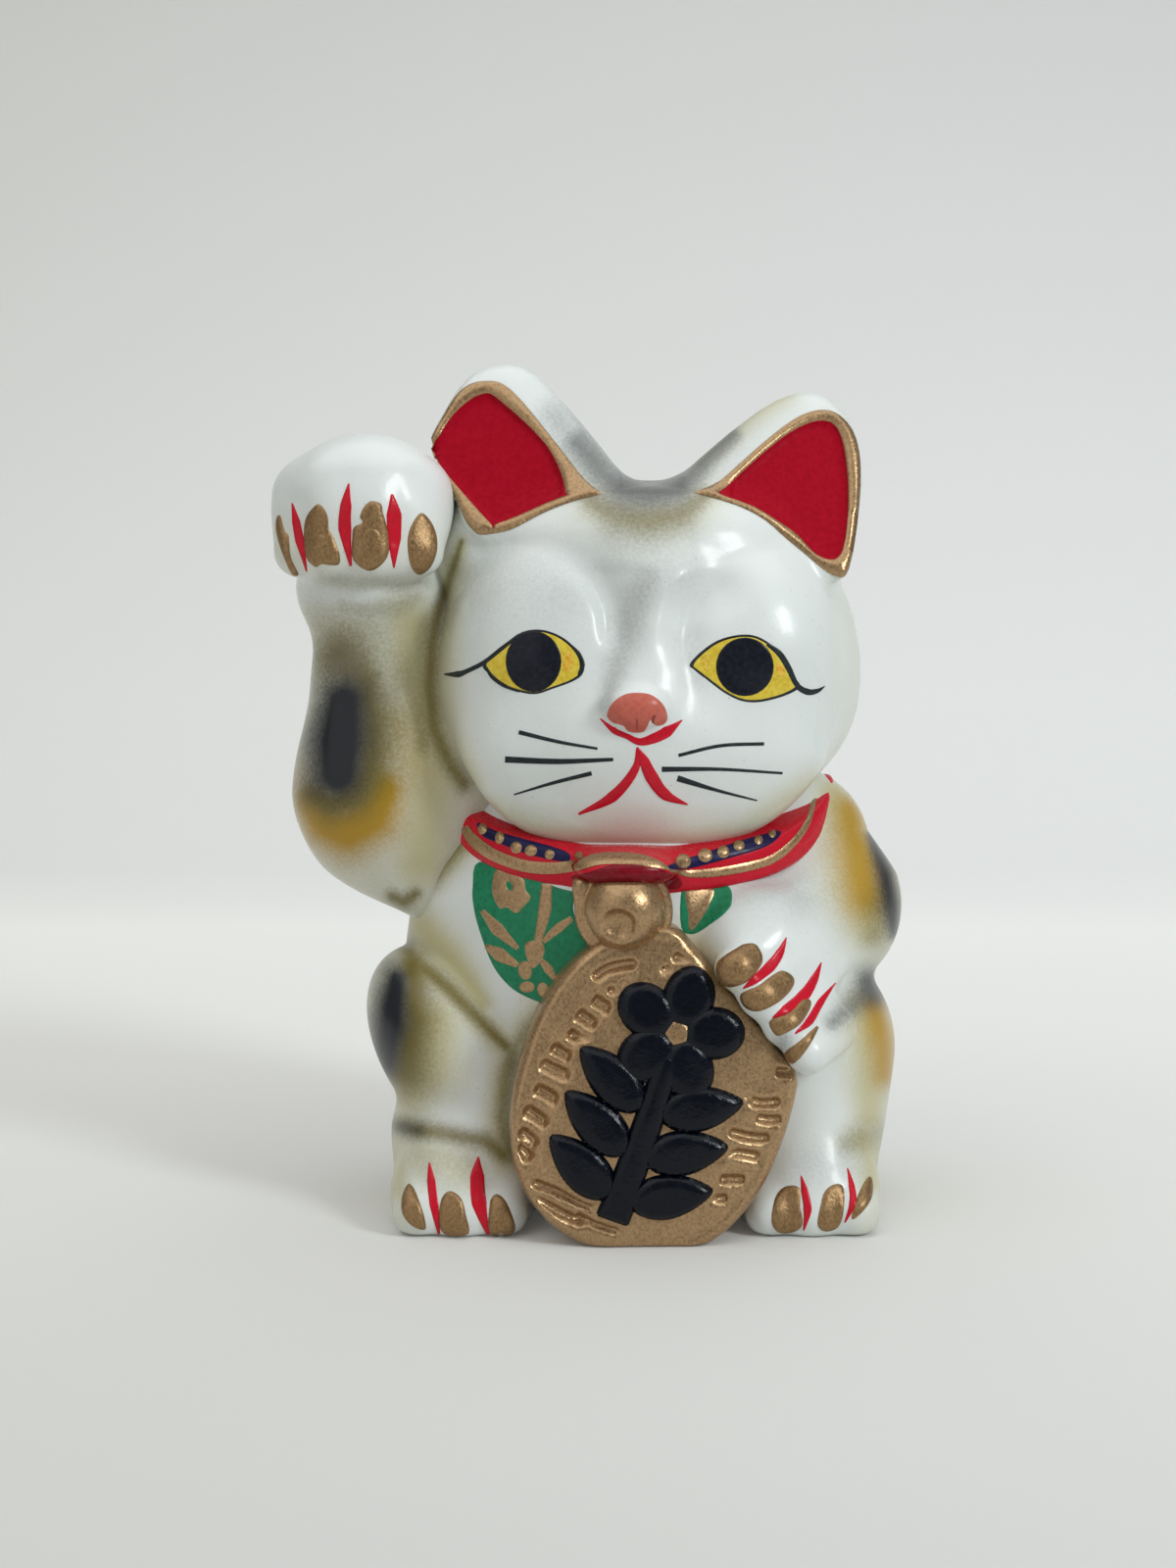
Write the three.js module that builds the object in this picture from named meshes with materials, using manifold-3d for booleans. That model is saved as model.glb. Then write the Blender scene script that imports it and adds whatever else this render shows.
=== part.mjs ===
// A beckoning cat in slip-cast, painted earthenware, in millimetres.
// The origin is on the floor under the middle of the body. +X is the viewer's right, -Y the front, +Z up.
// Right and left in the names are the cat's own: its right paw is raised, at the viewer's left.
import * as THREE from 'three';
import { mergeVertices } from 'three/addons/utils/BufferGeometryUtils.js';
import Module from 'manifold-3d';

const wasm = await Module();
wasm.setup();

// Walls and joints
const wall = 4;
const clearance = 0.3;
const baseThickness = 4;
const ventDiameter = 12;
const ventSetback = 15;
const neckBore = 26;

// Body
const bodyWidth = 82;
const bodyDepth = 64;
const bodyHeight = 88;
const bodySetback = 3;
const baseCut = 8;
const shoulderWidth = 76;
const shoulderDepth = 56;
const shoulderDrop = 28;
const bellyWidth = 50;
const bellyHeight = 44;
const hipWidth = 86;
const hipDepth = 60;
const hipHeight = 32;
const shoulderHeight = 36;
const bellyDepth = 38.4;
const bellyDrop = 10;
const bellyAdvance = 16;

// Head
const headWidth = 75.6;
const headDepth = 57;
const headHeight = 64;
const headSink = 22;
const headOffset = 1.8;
const muzzleOffset = -1.6;
const skullHeight = 56;
const jawHeight = 48;
const cheekWidth = 33;
const cheekHeight = 39;
const cheekDepth = 27.6;
const cheekSpacing = 34.4;
const cheekAdvance = 1.8;
const eyeAboveJaw = 9;
const jowlWidth = 33;
const jowlHeight = 26;
const jowlDepth = 25;
const jowlSpacing = 31.5;
const jowlAdvance = 2.5;
const jowlDrop = 5.7;
const chinWidth = 52;
const chinDepth = 22;
const chinHeight = 28;
const chinAdvance = 2.5;
const chinDrop = 12.5;
const browWidth = 44;
const browDepth = 21.2;
const browHeight = 17;
const browSetback = 3.5;
const browAboveEye = 20.5;
const frownWidth = 19;
const frownDepth = 19.2;
const frownHeight = 15;
const frownAboveEye = 13.5;
const bridgeDiameter = 11.6;
const bridgeTipDiameter = 10.4;
const bridgeLength = 17;
const bridgeAboveEye = 12;
const bridgeProud = 6.1;
const muzzleWidth = 30;
const muzzleDepth = 19.2;
const muzzleHeight = 20;
const muzzleProud = 6.6;
const muzzleDrop = 4.5;
const noseWidth = 11.2;
const noseHeight = 7.6;
const noseProud = 1.6;
const noseRise = 1.6;

// Ears
const earWidth = 29;
const earHeight = 27;
const earThickness = 19;
const earTaper = 0.55;
const earInset = 13.8;
const earRise = 1;
const earStagger = 3;
const earSetback = 15.5;
const earRake = 0.42;
const earRecess = 1;
const earRim = 2.4;

// Raised arm, on the cat's right
const elbowWidth = 40;
const elbowDepth = 31;
const elbowHeight = 39.6;
const elbowAboveShoulder = 13.5;
const elbowAdvance = 5;
const forearmLength = 31;
const forearmDiameter = 27;
const wristDiameter = 21;
const wristAdvance = 3;
const elbowTipDiameter = 14.6;
const elbowTipReach = 8.7;
const elbowTipDrop = 7.9;
const elbowFootReach = 4;
const elbowFootDrop = 16.5;
const webWidth = 15;
const webDepth = 16;
const webHeight = 32;
const webDrop = 2.5;
const cuffWidth = 24;
const cuffDepth = 20;
const cuffHeight = 17;
const cuffRise = 6.5;
const cuffAdvance = 5;
const raisedPawWidth = 32.4;
const raisedPawDepth = 31;
const raisedPawHeight = 26.8;
const raisedPawRise = 20.5;
const raisedPawAdvance = 8.3;
const raisedClawDrop = 5;
const raisedFingerDiameter = 9.6;

// Lowered arm, on the cat's left
const upperArmDiameter = 36.4;
const upperArmTopDiameter = 30.4;
const upperArmLength = 8.5;
const upperArmDrop = 5.5;
const upperArmLean = 1.8;
const upperArmInset = 11.2;
const upperArmAdvance = 5.5;
const loweredElbowDiameter = 25.2;
const loweredElbowReach = 4.2;
const loweredElbowAdvance = 6.5;
const loweredElbowDrop = 7.5;
const loweredWristDiameter = 21.6;
const loweredForearmReach = 11;
const loweredForearmAdvance = 16.5;
const loweredForearmDrop = 5;
const loweredPawInset = 7.3;
const loweredPawSink = 2;
const loweredPawDrop = 13.7;
const loweredPalmLength = 10.4;
const loweredPalmDiameter = 18.8;
const loweredPalmHeelDiameter = 16;
const loweredPalmTurn = THREE.MathUtils.degToRad(-44);
const loweredFingersReach = 8.6;
const loweredFingerDiameter = 7;
const loweredFingerLength = 6.6;
const loweredFingerPitch = 6.2;

// Legs
const thighWidth = 41.6;
const thighDepth = 51;
const thighHeight = 40.8;
const thighRise = 28;
const thighInset = 17;
const thighAdvance = 10;
const haunchLength = 51;
const haunchDepth = 42;
const haunchBreadth = 30.4;
const haunchRise = 24.8;
const haunchInset = 14.7;
const haunchTurn = THREE.MathUtils.degToRad(-48.7);
const shinWidth = 29;
const shinDepth = 44;
const shinHeight = 22;
const shinRise = 13;
const shinAdvance = 2;
const shinInset = 1;
const heelHeight = 17;
const heelReach = 10;
const footSpacing = 61;
const footWidth = 25.5;
const footReach = 38;
const toeDiameter = 9;
const toePitch = 7.2;

// Tail
const tailLength = 19;
const tailDiameter = 13;
const tailSlope = 5;

// Collar and bell
const collarHeight = 7.2;
const collarThickness = 10;
const collarWidth = 69.6;
const collarDepth = 60.4;
const collarLean = 0.31;
const collarAdvance = 4;
const collarDrop = -6.7;
const collarOffset = 0.5;
const bellDiameter = 18;
const bellFlange = 3;
const bellDomeDiameter = 13.8;
const bellDomeHeight = 6.4;
const bellOffset = -4;
const bellAdvance = 2.6;
const bellDrop = 8;

// Oval gold coin, and the blossom and leaves raised on it
const coinX = 3;
const coinSetback = 0.3;
const coinWidth = 47;
const coinTopDrop = 11.4;
const coinSunk = 2.6;
const coinEdge = 6.5;
const coinCrown = 2.2;
const coinBacking = 6;
const coinTilt = THREE.MathUtils.degToRad(19);
const coinLean = 0.1;
const ornamentProud = 1.4;
const stemWidth = 5.2;
const ornamentMargin = 6.5;
const leafLength = 14.6;
const leafWidth = 7;
const leafPairs = 3;
const petalDiameter = 9.6;
const petalCount = 5;

// Claws
const clawProud = 1;
const raisedClawWidth = 5.8;
const raisedClawLength = 11.5;
const loweredClawWidth = 3.8;
const loweredClawLength = 8.8;
const footClawWidth = 4.8;
const footClawLength = 8;

// Places that follow from the sizes
const bodyRadiusZ = (bodyHeight + baseCut) / 2;
const bodyMiddle = bodyHeight - bodyRadiusZ;
const shoulderZ = bodyHeight - shoulderDrop;
const chinZ = bodyHeight - headSink;
const jawZ = chinZ + jawHeight / 2;
const crownZ = chinZ + headHeight;
const skullZ = crownZ - skullHeight / 2;
const eyeZ = jawZ + eyeAboveJaw;
const backY = bodySetback + bodyDepth / 2;
const faceY = -headDepth / 2;
const muzzleX = headOffset + muzzleOffset;
const elbowX = -bodyWidth / 2;
const elbowY = bodySetback - elbowAdvance;
const elbowZ = shoulderZ + elbowAboveShoulder;
const raisedArmX = elbowX - (elbowWidth - forearmDiameter) / 2;
const wristZ = elbowZ + forearmLength;
const raisedPawZ = wristZ + raisedPawRise;
const raisedPawY = elbowY - raisedPawAdvance;
const upperArmX = bodyWidth / 2 - upperArmInset;
const upperArmY = bodySetback - upperArmAdvance;
const upperArmZ = shoulderZ - upperArmDrop;
const loweredElbow = [
  upperArmX + loweredElbowReach,
  upperArmY - loweredElbowAdvance,
  shoulderZ - loweredElbowDrop,
];
const loweredWrist = [
  loweredElbow[0] - loweredForearmReach,
  loweredElbow[1] - loweredForearmAdvance,
  loweredElbow[2] - loweredForearmDrop,
];
const loweredPawX = upperArmX - loweredPawInset;
const loweredPawY = bodySetback - bodyDepth / 2 + loweredPawSink;
const loweredPawZ = shoulderZ - loweredPawDrop;
const thighX = hipWidth / 2 - thighInset;
const thighY = bodySetback - thighAdvance;
const footToeY = -(footReach - toeDiameter / 2);
const collarY = bodySetback - collarAdvance;
const collarZ = chinZ - collarDrop;
const bellX = headOffset + bellOffset;
const bellY = collarY - collarDepth / 2 - bellAdvance;
const bellZ = chinZ - bellDrop;
const coinLength = chinZ - coinTopDrop + coinSunk;
const coinY = bellY + coinSetback;
const coinZ = coinLength / 2 - coinSunk;

// Clay forms. Each gives about the distance from a point to the form's skin, negative inside.
const egg = ([cx, cy, cz], [rx, ry, rz]) => (x, y, z) => {
  const u = (x - cx) / rx;
  const v = (y - cy) / ry;
  const w = (z - cz) / rz;
  const share = Math.hypot(u, v, w);
  if (share < 1e-6) return -Math.min(rx, ry, rz);
  return (share * (share - 1)) / Math.hypot(u / rx, v / ry, w / rz);
};

const roll = ([ax, ay, az], [bx, by, bz], radiusA, radiusB) => {
  const [dx, dy, dz] = [bx - ax, by - ay, bz - az];
  const square = dx * dx + dy * dy + dz * dz;
  return (x, y, z) => {
    const along = ((x - ax) * dx + (y - ay) * dy + (z - az) * dz) / square;
    const t = THREE.MathUtils.clamp(along, 0, 1);
    const reach = Math.hypot(x - ax - t * dx, y - ay - t * dy, z - az - t * dz);
    return reach - (radiusA + (radiusB - radiusA) * t);
  };
};

const soften = (a, b, width) => {
  const share = THREE.MathUtils.clamp(0.5 + (0.5 * (b - a)) / width, 0, 1);
  return b + (a - b) * share - width * share * (1 - share);
};

const melt = (width, ...forms) => (x, y, z) =>
  forms.map((form) => form(x, y, z)).reduce((a, b) => soften(a, b, width));

// A form turned about a place in the front plane
const leaning = (form, [cx, , cz], turn) => (x, y, z) => {
  const [across, up] = [x - cx, z - cz];
  const [c, s] = [Math.cos(turn), Math.sin(turn)];
  return form(cx + across * c + up * s, y, cz - across * s + up * c);
};

// Solids
function welded(geometry) {
  geometry.deleteAttribute('normal');
  geometry.deleteAttribute('uv');
  return mergeVertices(geometry);
}

function solid(geometry) {
  const merged = geometry.index && !geometry.attributes.normal ? geometry : welded(geometry);
  const corners = merged.index.array;
  const triangles = [];
  for (let i = 0; i < corners.length; i += 3) {
    const [a, b, c] = corners.slice(i, i + 3);
    if (a !== b && b !== c && c !== a) triangles.push(a, b, c);
  }
  const vertProperties = merged.attributes.position.array;
  const close = (triVerts) => new wasm.Manifold(new wasm.Mesh({ numProp: 3, vertProperties, triVerts }));
  const body = close(new Uint32Array(triangles));
  return body.volume() > 0 ? body : close(new Uint32Array(triangles.reverse()));
}

// A ball whose points slide out from its centre to the form's skin, grown by an allowance
function mould({ form, centre, columns, rows }, grow = 0) {
  const geometry = welded(new THREE.SphereGeometry(1, columns, rows)).rotateX(Math.PI / 2);
  const position = geometry.attributes.position;
  const direction = new THREE.Vector3();
  const [cx, cy, cz] = centre;
  for (let i = 0; i < position.count; i++) {
    direction.fromBufferAttribute(position, i);
    const depth = (r) => form(cx + direction.x * r, cy + direction.y * r, cz + direction.z * r) - grow;
    let inside = 0;
    let outside = 0;
    while (depth(outside) < 0) {
      inside = outside;
      outside += Math.max(-depth(outside), 0.25);
    }
    for (let step = 0; step < 24; step++) {
      const middle = (inside + outside) / 2;
      if (depth(middle) < 0) inside = middle;
      else outside = middle;
    }
    position.setXYZ(i, cx + direction.x * inside, cy + direction.y * inside, cz + direction.z * inside);
  }
  return solid(geometry);
}

// The largest part left of a solid once others, each with its joint clearance, are cut from it
function trim(body, ...cutters) {
  const parts = cutters.reduce((rest, cutter) => rest.subtract(cutter), body).decompose();
  return parts.reduce((best, part) => (part.volume() > best.volume() ? part : best));
}

const slab = (width, bottom, top) =>
  solid(new THREE.BoxGeometry(width, width, top - bottom).translate(0, 0, (top + bottom) / 2));

const drum = (diameter, bottom, top, x, y, sides) =>
  solid(new THREE.CylinderGeometry(diameter / 2, diameter / 2, top - bottom, sides)
    .rotateX(Math.PI / 2).translate(x, y, (top + bottom) / 2));

const underFloor = slab(8 * bodyWidth, -4 * bodyHeight, 0);

// A closed round outline through a few points
const outline = (points, divisions) =>
  new THREE.CatmullRomCurve3(points.map(([x, y]) => new THREE.Vector3(x, y, 0)), true, 'centripetal')
    .getPoints(divisions).slice(0, -1).map(({ x, y }) => new THREE.Vector2(x, y));

// Finishes
const glaze = { color: 0xe6e6da, roughness: 0.3, metalness: 0 };
const bisque = { color: 0xcfc8b8, roughness: 0.8, metalness: 0 };
const gold = { color: 0xa07846, roughness: 0.4, metalness: 0.6 };
const red = { color: 0xb01020, roughness: 0.35, metalness: 0 };
const black = { color: 0x101216, roughness: 0.25, metalness: 0 };
const pink = { color: 0xe08880, roughness: 0.35, metalness: 0 };

const cat = new THREE.Group();

function place(name, body, finish) {
  const { vertProperties, triVerts } = body.getMesh();
  const geometry = new THREE.BufferGeometry();
  geometry.setAttribute('position', new THREE.BufferAttribute(vertProperties, 3));
  geometry.setIndex(new THREE.BufferAttribute(triVerts, 1));
  geometry.computeVertexNormals();
  const mesh = new THREE.Mesh(geometry, new THREE.MeshStandardMaterial(finish));
  mesh.name = name;
  cat.add(mesh);
}

// Body: an egg with shoulders, belly and hips, cut flat at the floor
const trunk = {
  form: melt(
    8,
    egg([0, bodySetback, bodyMiddle], [bodyWidth / 2, bodyDepth / 2, bodyRadiusZ]),
    egg([0, bodySetback, shoulderZ], [shoulderWidth / 2, shoulderDepth / 2, shoulderHeight / 2]),
    egg(
      [0, bodySetback - bellyAdvance, shoulderZ - bellyDrop],
      [bellyWidth / 2, bellyDepth / 2, bellyHeight / 2],
    ),
    egg([0, bodySetback, hipHeight / 2 - baseCut], [hipWidth / 2, hipDepth / 2, hipHeight / 2]),
  ),
  centre: [0, bodySetback, bodyMiddle],
  columns: 28,
  rows: 16,
};

// Head: skull and jaw, with mounds round the eyes, jowls, a chin, a brow, a bridge and a muzzle
const headCentre = [headOffset, 0, jawZ];
const skull = melt(
  10,
  egg([headOffset, 0, skullZ], [headWidth / 2, headDepth / 2, skullHeight / 2]),
  egg([headOffset, 0, jawZ], [headWidth / 2, headDepth / 2, jawHeight / 2]),
);
const cheek = (side) =>
  melt(
    4,
    egg(
      [headOffset + (side * cheekSpacing) / 2, faceY - cheekAdvance + cheekDepth / 2, eyeZ],
      [cheekWidth / 2, cheekDepth / 2, cheekHeight / 2],
    ),
    egg(
      [headOffset + (side * jowlSpacing) / 2, faceY - jowlAdvance + jowlDepth / 2, jawZ - jowlDrop],
      [jowlWidth / 2, jowlDepth / 2, jowlHeight / 2],
    ),
  );
const jaw = melt(
  5,
  melt(2, cheek(-1), cheek(1)),
  egg(
    [muzzleX, faceY - chinAdvance + chinDepth / 2, jawZ - chinDrop],
    [chinWidth / 2, chinDepth / 2, chinHeight / 2],
  ),
);
const brow = melt(
  4,
  egg(
    [headOffset, faceY + browSetback + browDepth / 2, eyeZ + browAboveEye],
    [browWidth / 2, browDepth / 2, browHeight / 2],
  ),
  egg(
    [headOffset, faceY + frownDepth / 2, eyeZ + frownAboveEye],
    [frownWidth / 2, frownDepth / 2, frownHeight / 2],
  ),
  roll(
    [headOffset, faceY + bridgeDiameter / 2, eyeZ + bridgeAboveEye],
    [muzzleX, faceY - bridgeProud + bridgeTipDiameter / 2, eyeZ + bridgeAboveEye - bridgeLength],
    bridgeDiameter / 2,
    bridgeTipDiameter / 2,
  ),
);
const muzzle = egg(
  [muzzleX, faceY - muzzleProud + muzzleDepth / 2, jawZ - muzzleDrop],
  [muzzleWidth / 2, muzzleDepth / 2, muzzleHeight / 2],
);
const head = {
  form: melt(6, skull, melt(7, melt(2.2, jaw, brow), muzzle)),
  centre: headCentre,
  columns: 40,
  rows: 28,
};

const headSolid = mould(head);
const headGrown = mould(head, clearance);
const trunkGrown = mould(trunk, clearance);

const bodyCavity = mould({ ...trunk, columns: 20, rows: 14 }, -wall);
const bodyShell = trim(mould(trunk), bodyCavity, headGrown, underFloor);
place('body_shell', bodyShell, glaze);

// A slab luted into the open foot of the body, with the vent that slip casting needs
const basePlate = mould({ ...trunk, columns: 20, rows: 14 }, -wall - clearance).intersect(
  slab(2 * hipWidth, 0, baseThickness),
);
place('base_plate', trim(basePlate, drum(ventDiameter, -1, baseThickness + 1, 0, ventSetback, 16)), bisque);

const headCavity = mould({ ...head, form: skull, columns: 20, rows: 14 }, -wall);
const neckHole = drum(neckBore, chinZ - wall, jawZ, headOffset, 0, 20);
place('head_shell', trim(headSolid, headCavity, neckHole), glaze);

// What stands proud of a form inside an outline drawn on its front: a bar through the outline,
// kept only in a layer of even thickness over the form's skin
function inlay(bar, form, proud, ...cutters) {
  return trim(bar.intersect(mould(form, clearance + proud)), mould(form, clearance), ...cutters);
}

// A bar with an oval section that runs forward from a place, its long axis turned from upright
function ovalBar([x, y, z], width, length, turn, reach) {
  const shape = new THREE.Shape();
  shape.absellipse(0, 0, width / 2, length / 2, 0, 2 * Math.PI, false, turn);
  const geometry = new THREE.ExtrudeGeometry(shape, { depth: reach, bevelEnabled: false, curveSegments: 5 });
  return solid(geometry.rotateX(Math.PI / 2).translate(x, y, z));
}

// Ears: leaning prisms with round outlines, swelling and closing towards the back, with a sunk front
// inside a rim. Outline points are shares of the ear's width and height from its middle.
const earOutlines = {
  right: [
    [-0.17, 0.51], [-0.02, 0.44], [0.25, 0.08], [0.51, -0.28], [0.4, -0.37],
    [-0.09, -0.49], [-0.26, -0.45], [-0.36, -0.25], [-0.5, 0.05], [-0.43, 0.26], [-0.31, 0.45],
  ],
  left: [
    [0.27, 0.55], [0, 0.43], [-0.26, 0.21], [-0.49, -0.04], [-0.48, -0.15],
    [-0.08, -0.26], [0.3, -0.54], [0.42, -0.5], [0.49, -0.09], [0.5, 0.25], [0.42, 0.46],
  ],
};
const earSides = 20;
const earSteps = 4;

// A leaning prism over an ear's outline, drawn in by an inset, from one depth behind the front to another
function earPrism(side, inset, front, back, swell, close) {
  const anchorX = headOffset + side * (headWidth / 2 - earInset);
  const anchorZ = crownZ + earRise - earStagger * side;
  const scaled = outline(side < 0 ? earOutlines.right : earOutlines.left, earSides).map(
    ({ x, y }) => new THREE.Vector2(x * (earWidth - 2 * inset), y * (earHeight - 2 * inset)),
  );
  const extent = { depth: 1, steps: earSteps, bevelEnabled: false };
  const geometry = new THREE.ExtrudeGeometry(new THREE.Shape(scaled), extent);
  const position = geometry.attributes.position;
  for (let i = 0; i < position.count; i++) {
    const behind = 1 - position.getZ(i);
    const reach = (back - front) * (1 - close * earTaper * (position.getY(i) / earHeight + 0.5));
    const size = (1 + swell * behind) * Math.sqrt(1 - close * behind ** 3);
    const x = position.getX(i) * size - side * swell * behind * earWidth * 0.3;
    const z = position.getY(i) * size + swell * behind * earHeight * 0.3;
    const plane = faceY + earSetback + 0.12 * side * x + earRake * z;
    position.setXYZ(i, anchorX + x, plane + front + reach * behind, anchorZ + z);
  }
  return solid(geometry);
}
const earSwell = 0.25;
const earClose = 0.8;
const earBody = (side, grow = 0) => earPrism(side, -grow, -grow, earThickness + grow, earSwell, earClose);
const earHollow = (side) => earPrism(side, earRim, -2, earRecess, 0, 0);
place('right_ear', trim(earBody(-1), earHollow(-1), headGrown), glaze);
place('left_ear', trim(earBody(1), earHollow(1), headGrown), glaze);

// Collar: a leaning oval ring round the neck
const collarSides = 28;
function collarRing(grow = 0) {
  const [inner, edge, half] = [-collarThickness - grow, grow, collarHeight / 2 + grow];
  const profile = [
    [inner, -half], [edge - 1.6, -half], [edge - 0.4, -half * 0.6], [edge, 0], [edge - 0.4, half * 0.6],
    [edge - 1.6, half], [inner, half], [inner, -half],
  ].map(([r, z]) => new THREE.Vector2(collarDepth / 2 + r, z));
  const geometry = new THREE.LatheGeometry(profile, collarSides);
  geometry.rotateX(Math.PI / 2);
  const position = geometry.attributes.position;
  for (let i = 0; i < position.count; i++) {
    const x = position.getX(i) * (collarWidth / collarDepth);
    const y = position.getY(i);
    const rise = collarLean * Math.min(y, 0) + 0.1 * Math.max(y, 0);
    position.setXYZ(i, collarOffset + x, collarY + y, collarZ + position.getZ(i) + rise);
  }
  return solid(geometry);
}
place('collar', trim(collarRing(), headGrown, trunkGrown), red);
const collarGrown = collarRing(clearance);

// Legs: an egg for each thigh, the right one leaning towards the coin, a shin, and a foot with three toes
const haunch = [haunchInset - hipWidth / 2, thighY, haunchRise];
const thigh = {
  right: {
    form: leaning(egg(haunch, [haunchLength / 2, haunchDepth / 2, haunchBreadth / 2]), haunch, haunchTurn),
    centre: haunch,
    columns: 22,
    rows: 16,
  },
  left: {
    form: egg([thighX, thighY, thighRise], [thighWidth / 2, thighDepth / 2, thighHeight / 2]),
    centre: [thighX, thighY, thighRise],
    columns: 20,
    rows: 14,
  },
};
const footRise = heelHeight - footWidth / 2;
const footX = (side) => (side * footSpacing) / 2;
const toeX = (side, toe) => footX(side) + (toe - 1) * toePitch;
const foot = (side) => ({
  form: melt(
    4,
    egg(
      [footX(side) - side * shinInset, thighY - shinAdvance, shinRise],
      [shinWidth / 2, shinDepth / 2, shinHeight / 2],
    ),
    melt(
      1.8,
      roll(
        [footX(side), -heelReach, footRise],
        [footX(side), footToeY + toeDiameter, footRise],
        footWidth / 2,
        footWidth / 2,
      ),
      ...[0, 1, 2].map((toe) =>
        roll(
          [toeX(side, toe), footToeY + toeDiameter * 0.7, toeDiameter * 0.78],
          [toeX(side, toe), footToeY, toeDiameter * 0.4],
          toeDiameter / 2,
          toeDiameter / 2,
        ),
      ),
    ),
  ),
  centre: [footX(side), footToeY + toeDiameter, footRise],
  columns: 24,
  rows: 14,
});
const thighGrown = {};
const footGrown = {};
for (const [name, side] of [['right', -1], ['left', 1]]) {
  thighGrown[name] = mould(thigh[name], clearance);
  footGrown[name] = mould(foot(side), clearance);
  place(`${name}_thigh`, trim(mould(thigh[name]), trunkGrown), glaze);
  place(`${name}_foot`, trim(mould(foot(side)), trunkGrown, thighGrown[name], underFloor), glaze);
}

// Tail, curled against the back at the floor
const tail = {
  form: roll(
    [-tailLength / 2, backY - tailSlope, tailDiameter * 0.7 + tailSlope],
    [tailLength / 2, backY, tailDiameter * 0.7],
    tailDiameter / 2,
    tailDiameter * 0.4,
  ),
  centre: [0, backY - tailSlope / 2, tailDiameter * 0.7 + tailSlope / 2],
  columns: 18,
  rows: 12,
};
place('tail', trim(mould(tail), trunkGrown, underFloor), glaze);

// Raised arm: a broad elbow that runs down into the flank, a forearm that meets the head, and a cuff
const upperArm = melt(
  6,
  egg([elbowX, elbowY, elbowZ], [elbowWidth / 2, elbowDepth / 2, elbowHeight / 2]),
  roll(
    [raisedArmX, elbowY, elbowZ],
    [raisedArmX, elbowY - wristAdvance, wristZ],
    forearmDiameter / 2,
    wristDiameter / 2,
  ),
);
const elbowTip = roll(
  [elbowX - elbowTipReach, elbowY, elbowZ - elbowTipDrop],
  [elbowX + elbowFootReach, elbowY, elbowZ - elbowFootDrop],
  elbowTipDiameter / 2,
  elbowTipDiameter / 2,
);
const web = egg(
  [raisedArmX + wristDiameter / 2, elbowY, wristZ - webDrop],
  [webWidth / 2, webDepth / 2, webHeight / 2],
);
const cuff = egg(
  [raisedArmX, elbowY - cuffAdvance, wristZ + cuffRise],
  [cuffWidth / 2, cuffDepth / 2, cuffHeight / 2],
);
const raisedArm = {
  form: melt(5, upperArm, elbowTip, web, cuff),
  centre: [raisedArmX, elbowY, elbowZ + forearmLength / 5],
  columns: 24,
  rows: 20,
};
// Places of the four claws across the paw, as shares of its half width
const raisedClawPlaces = [-0.8, -0.44, 0.09, 0.64];
const raisedClawX = (share) => raisedArmX + (share * raisedPawWidth) / 2;
const raisedClawZ = raisedPawZ - raisedClawDrop;
const raisedTipY = (share) => raisedPawY - (raisedPawDepth / 2) * (0.68 - 0.38 * share ** 2);
const raisedPaw = {
  form: melt(
    2.5,
    egg([raisedArmX, raisedPawY, raisedPawZ], [raisedPawWidth / 2, raisedPawDepth / 2, raisedPawHeight / 2]),
    ...raisedClawPlaces.map((share) =>
      roll(
        [raisedClawX(share), raisedPawY - raisedPawDepth / 6, raisedPawZ + raisedPawHeight / 9],
        [raisedClawX(share), raisedTipY(share), raisedPawZ - raisedPawHeight * 0.3],
        raisedFingerDiameter / 2,
        raisedFingerDiameter / 2,
      ),
    ),
  ),
  centre: [raisedArmX, raisedPawY, raisedPawZ],
  columns: 28,
  rows: 16,
};
const raisedPawGrown = mould(raisedPaw, clearance);
place(
  'raised_arm',
  trim(mould(raisedArm), trunkGrown, headGrown, collarGrown, raisedPawGrown, thighGrown.right),
  glaze,
);

// Lowered arm: upper arm and elbow, with the wrist and paw laid over the coin's edge
const between = (a, b, share) => a.map((value, i) => value + (b[i] - value) * share);
const wristShare = 0.5;
const cuffDiameter = loweredElbowDiameter + (loweredWristDiameter - loweredElbowDiameter) * wristShare;
const loweredCuff = between(loweredElbow, loweredWrist, wristShare);
const loweredArm = {
  form: melt(
    6,
    roll(
      [upperArmX, upperArmY, upperArmZ],
      [upperArmX - upperArmLean, upperArmY + upperArmLean, upperArmZ + upperArmLength],
      upperArmDiameter / 2,
      upperArmTopDiameter / 2,
    ),
    roll(loweredElbow, loweredCuff, loweredElbowDiameter / 2, cuffDiameter / 2),
  ),
  centre: [upperArmX, upperArmY - loweredElbowAdvance / 3, upperArmZ],
  columns: 24,
  rows: 18,
};
const loweredArmGrown = mould(loweredArm, clearance);
place('lowered_arm', trim(mould(loweredArm), trunkGrown, headGrown, collarGrown, thighGrown.left), glaze);

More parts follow.
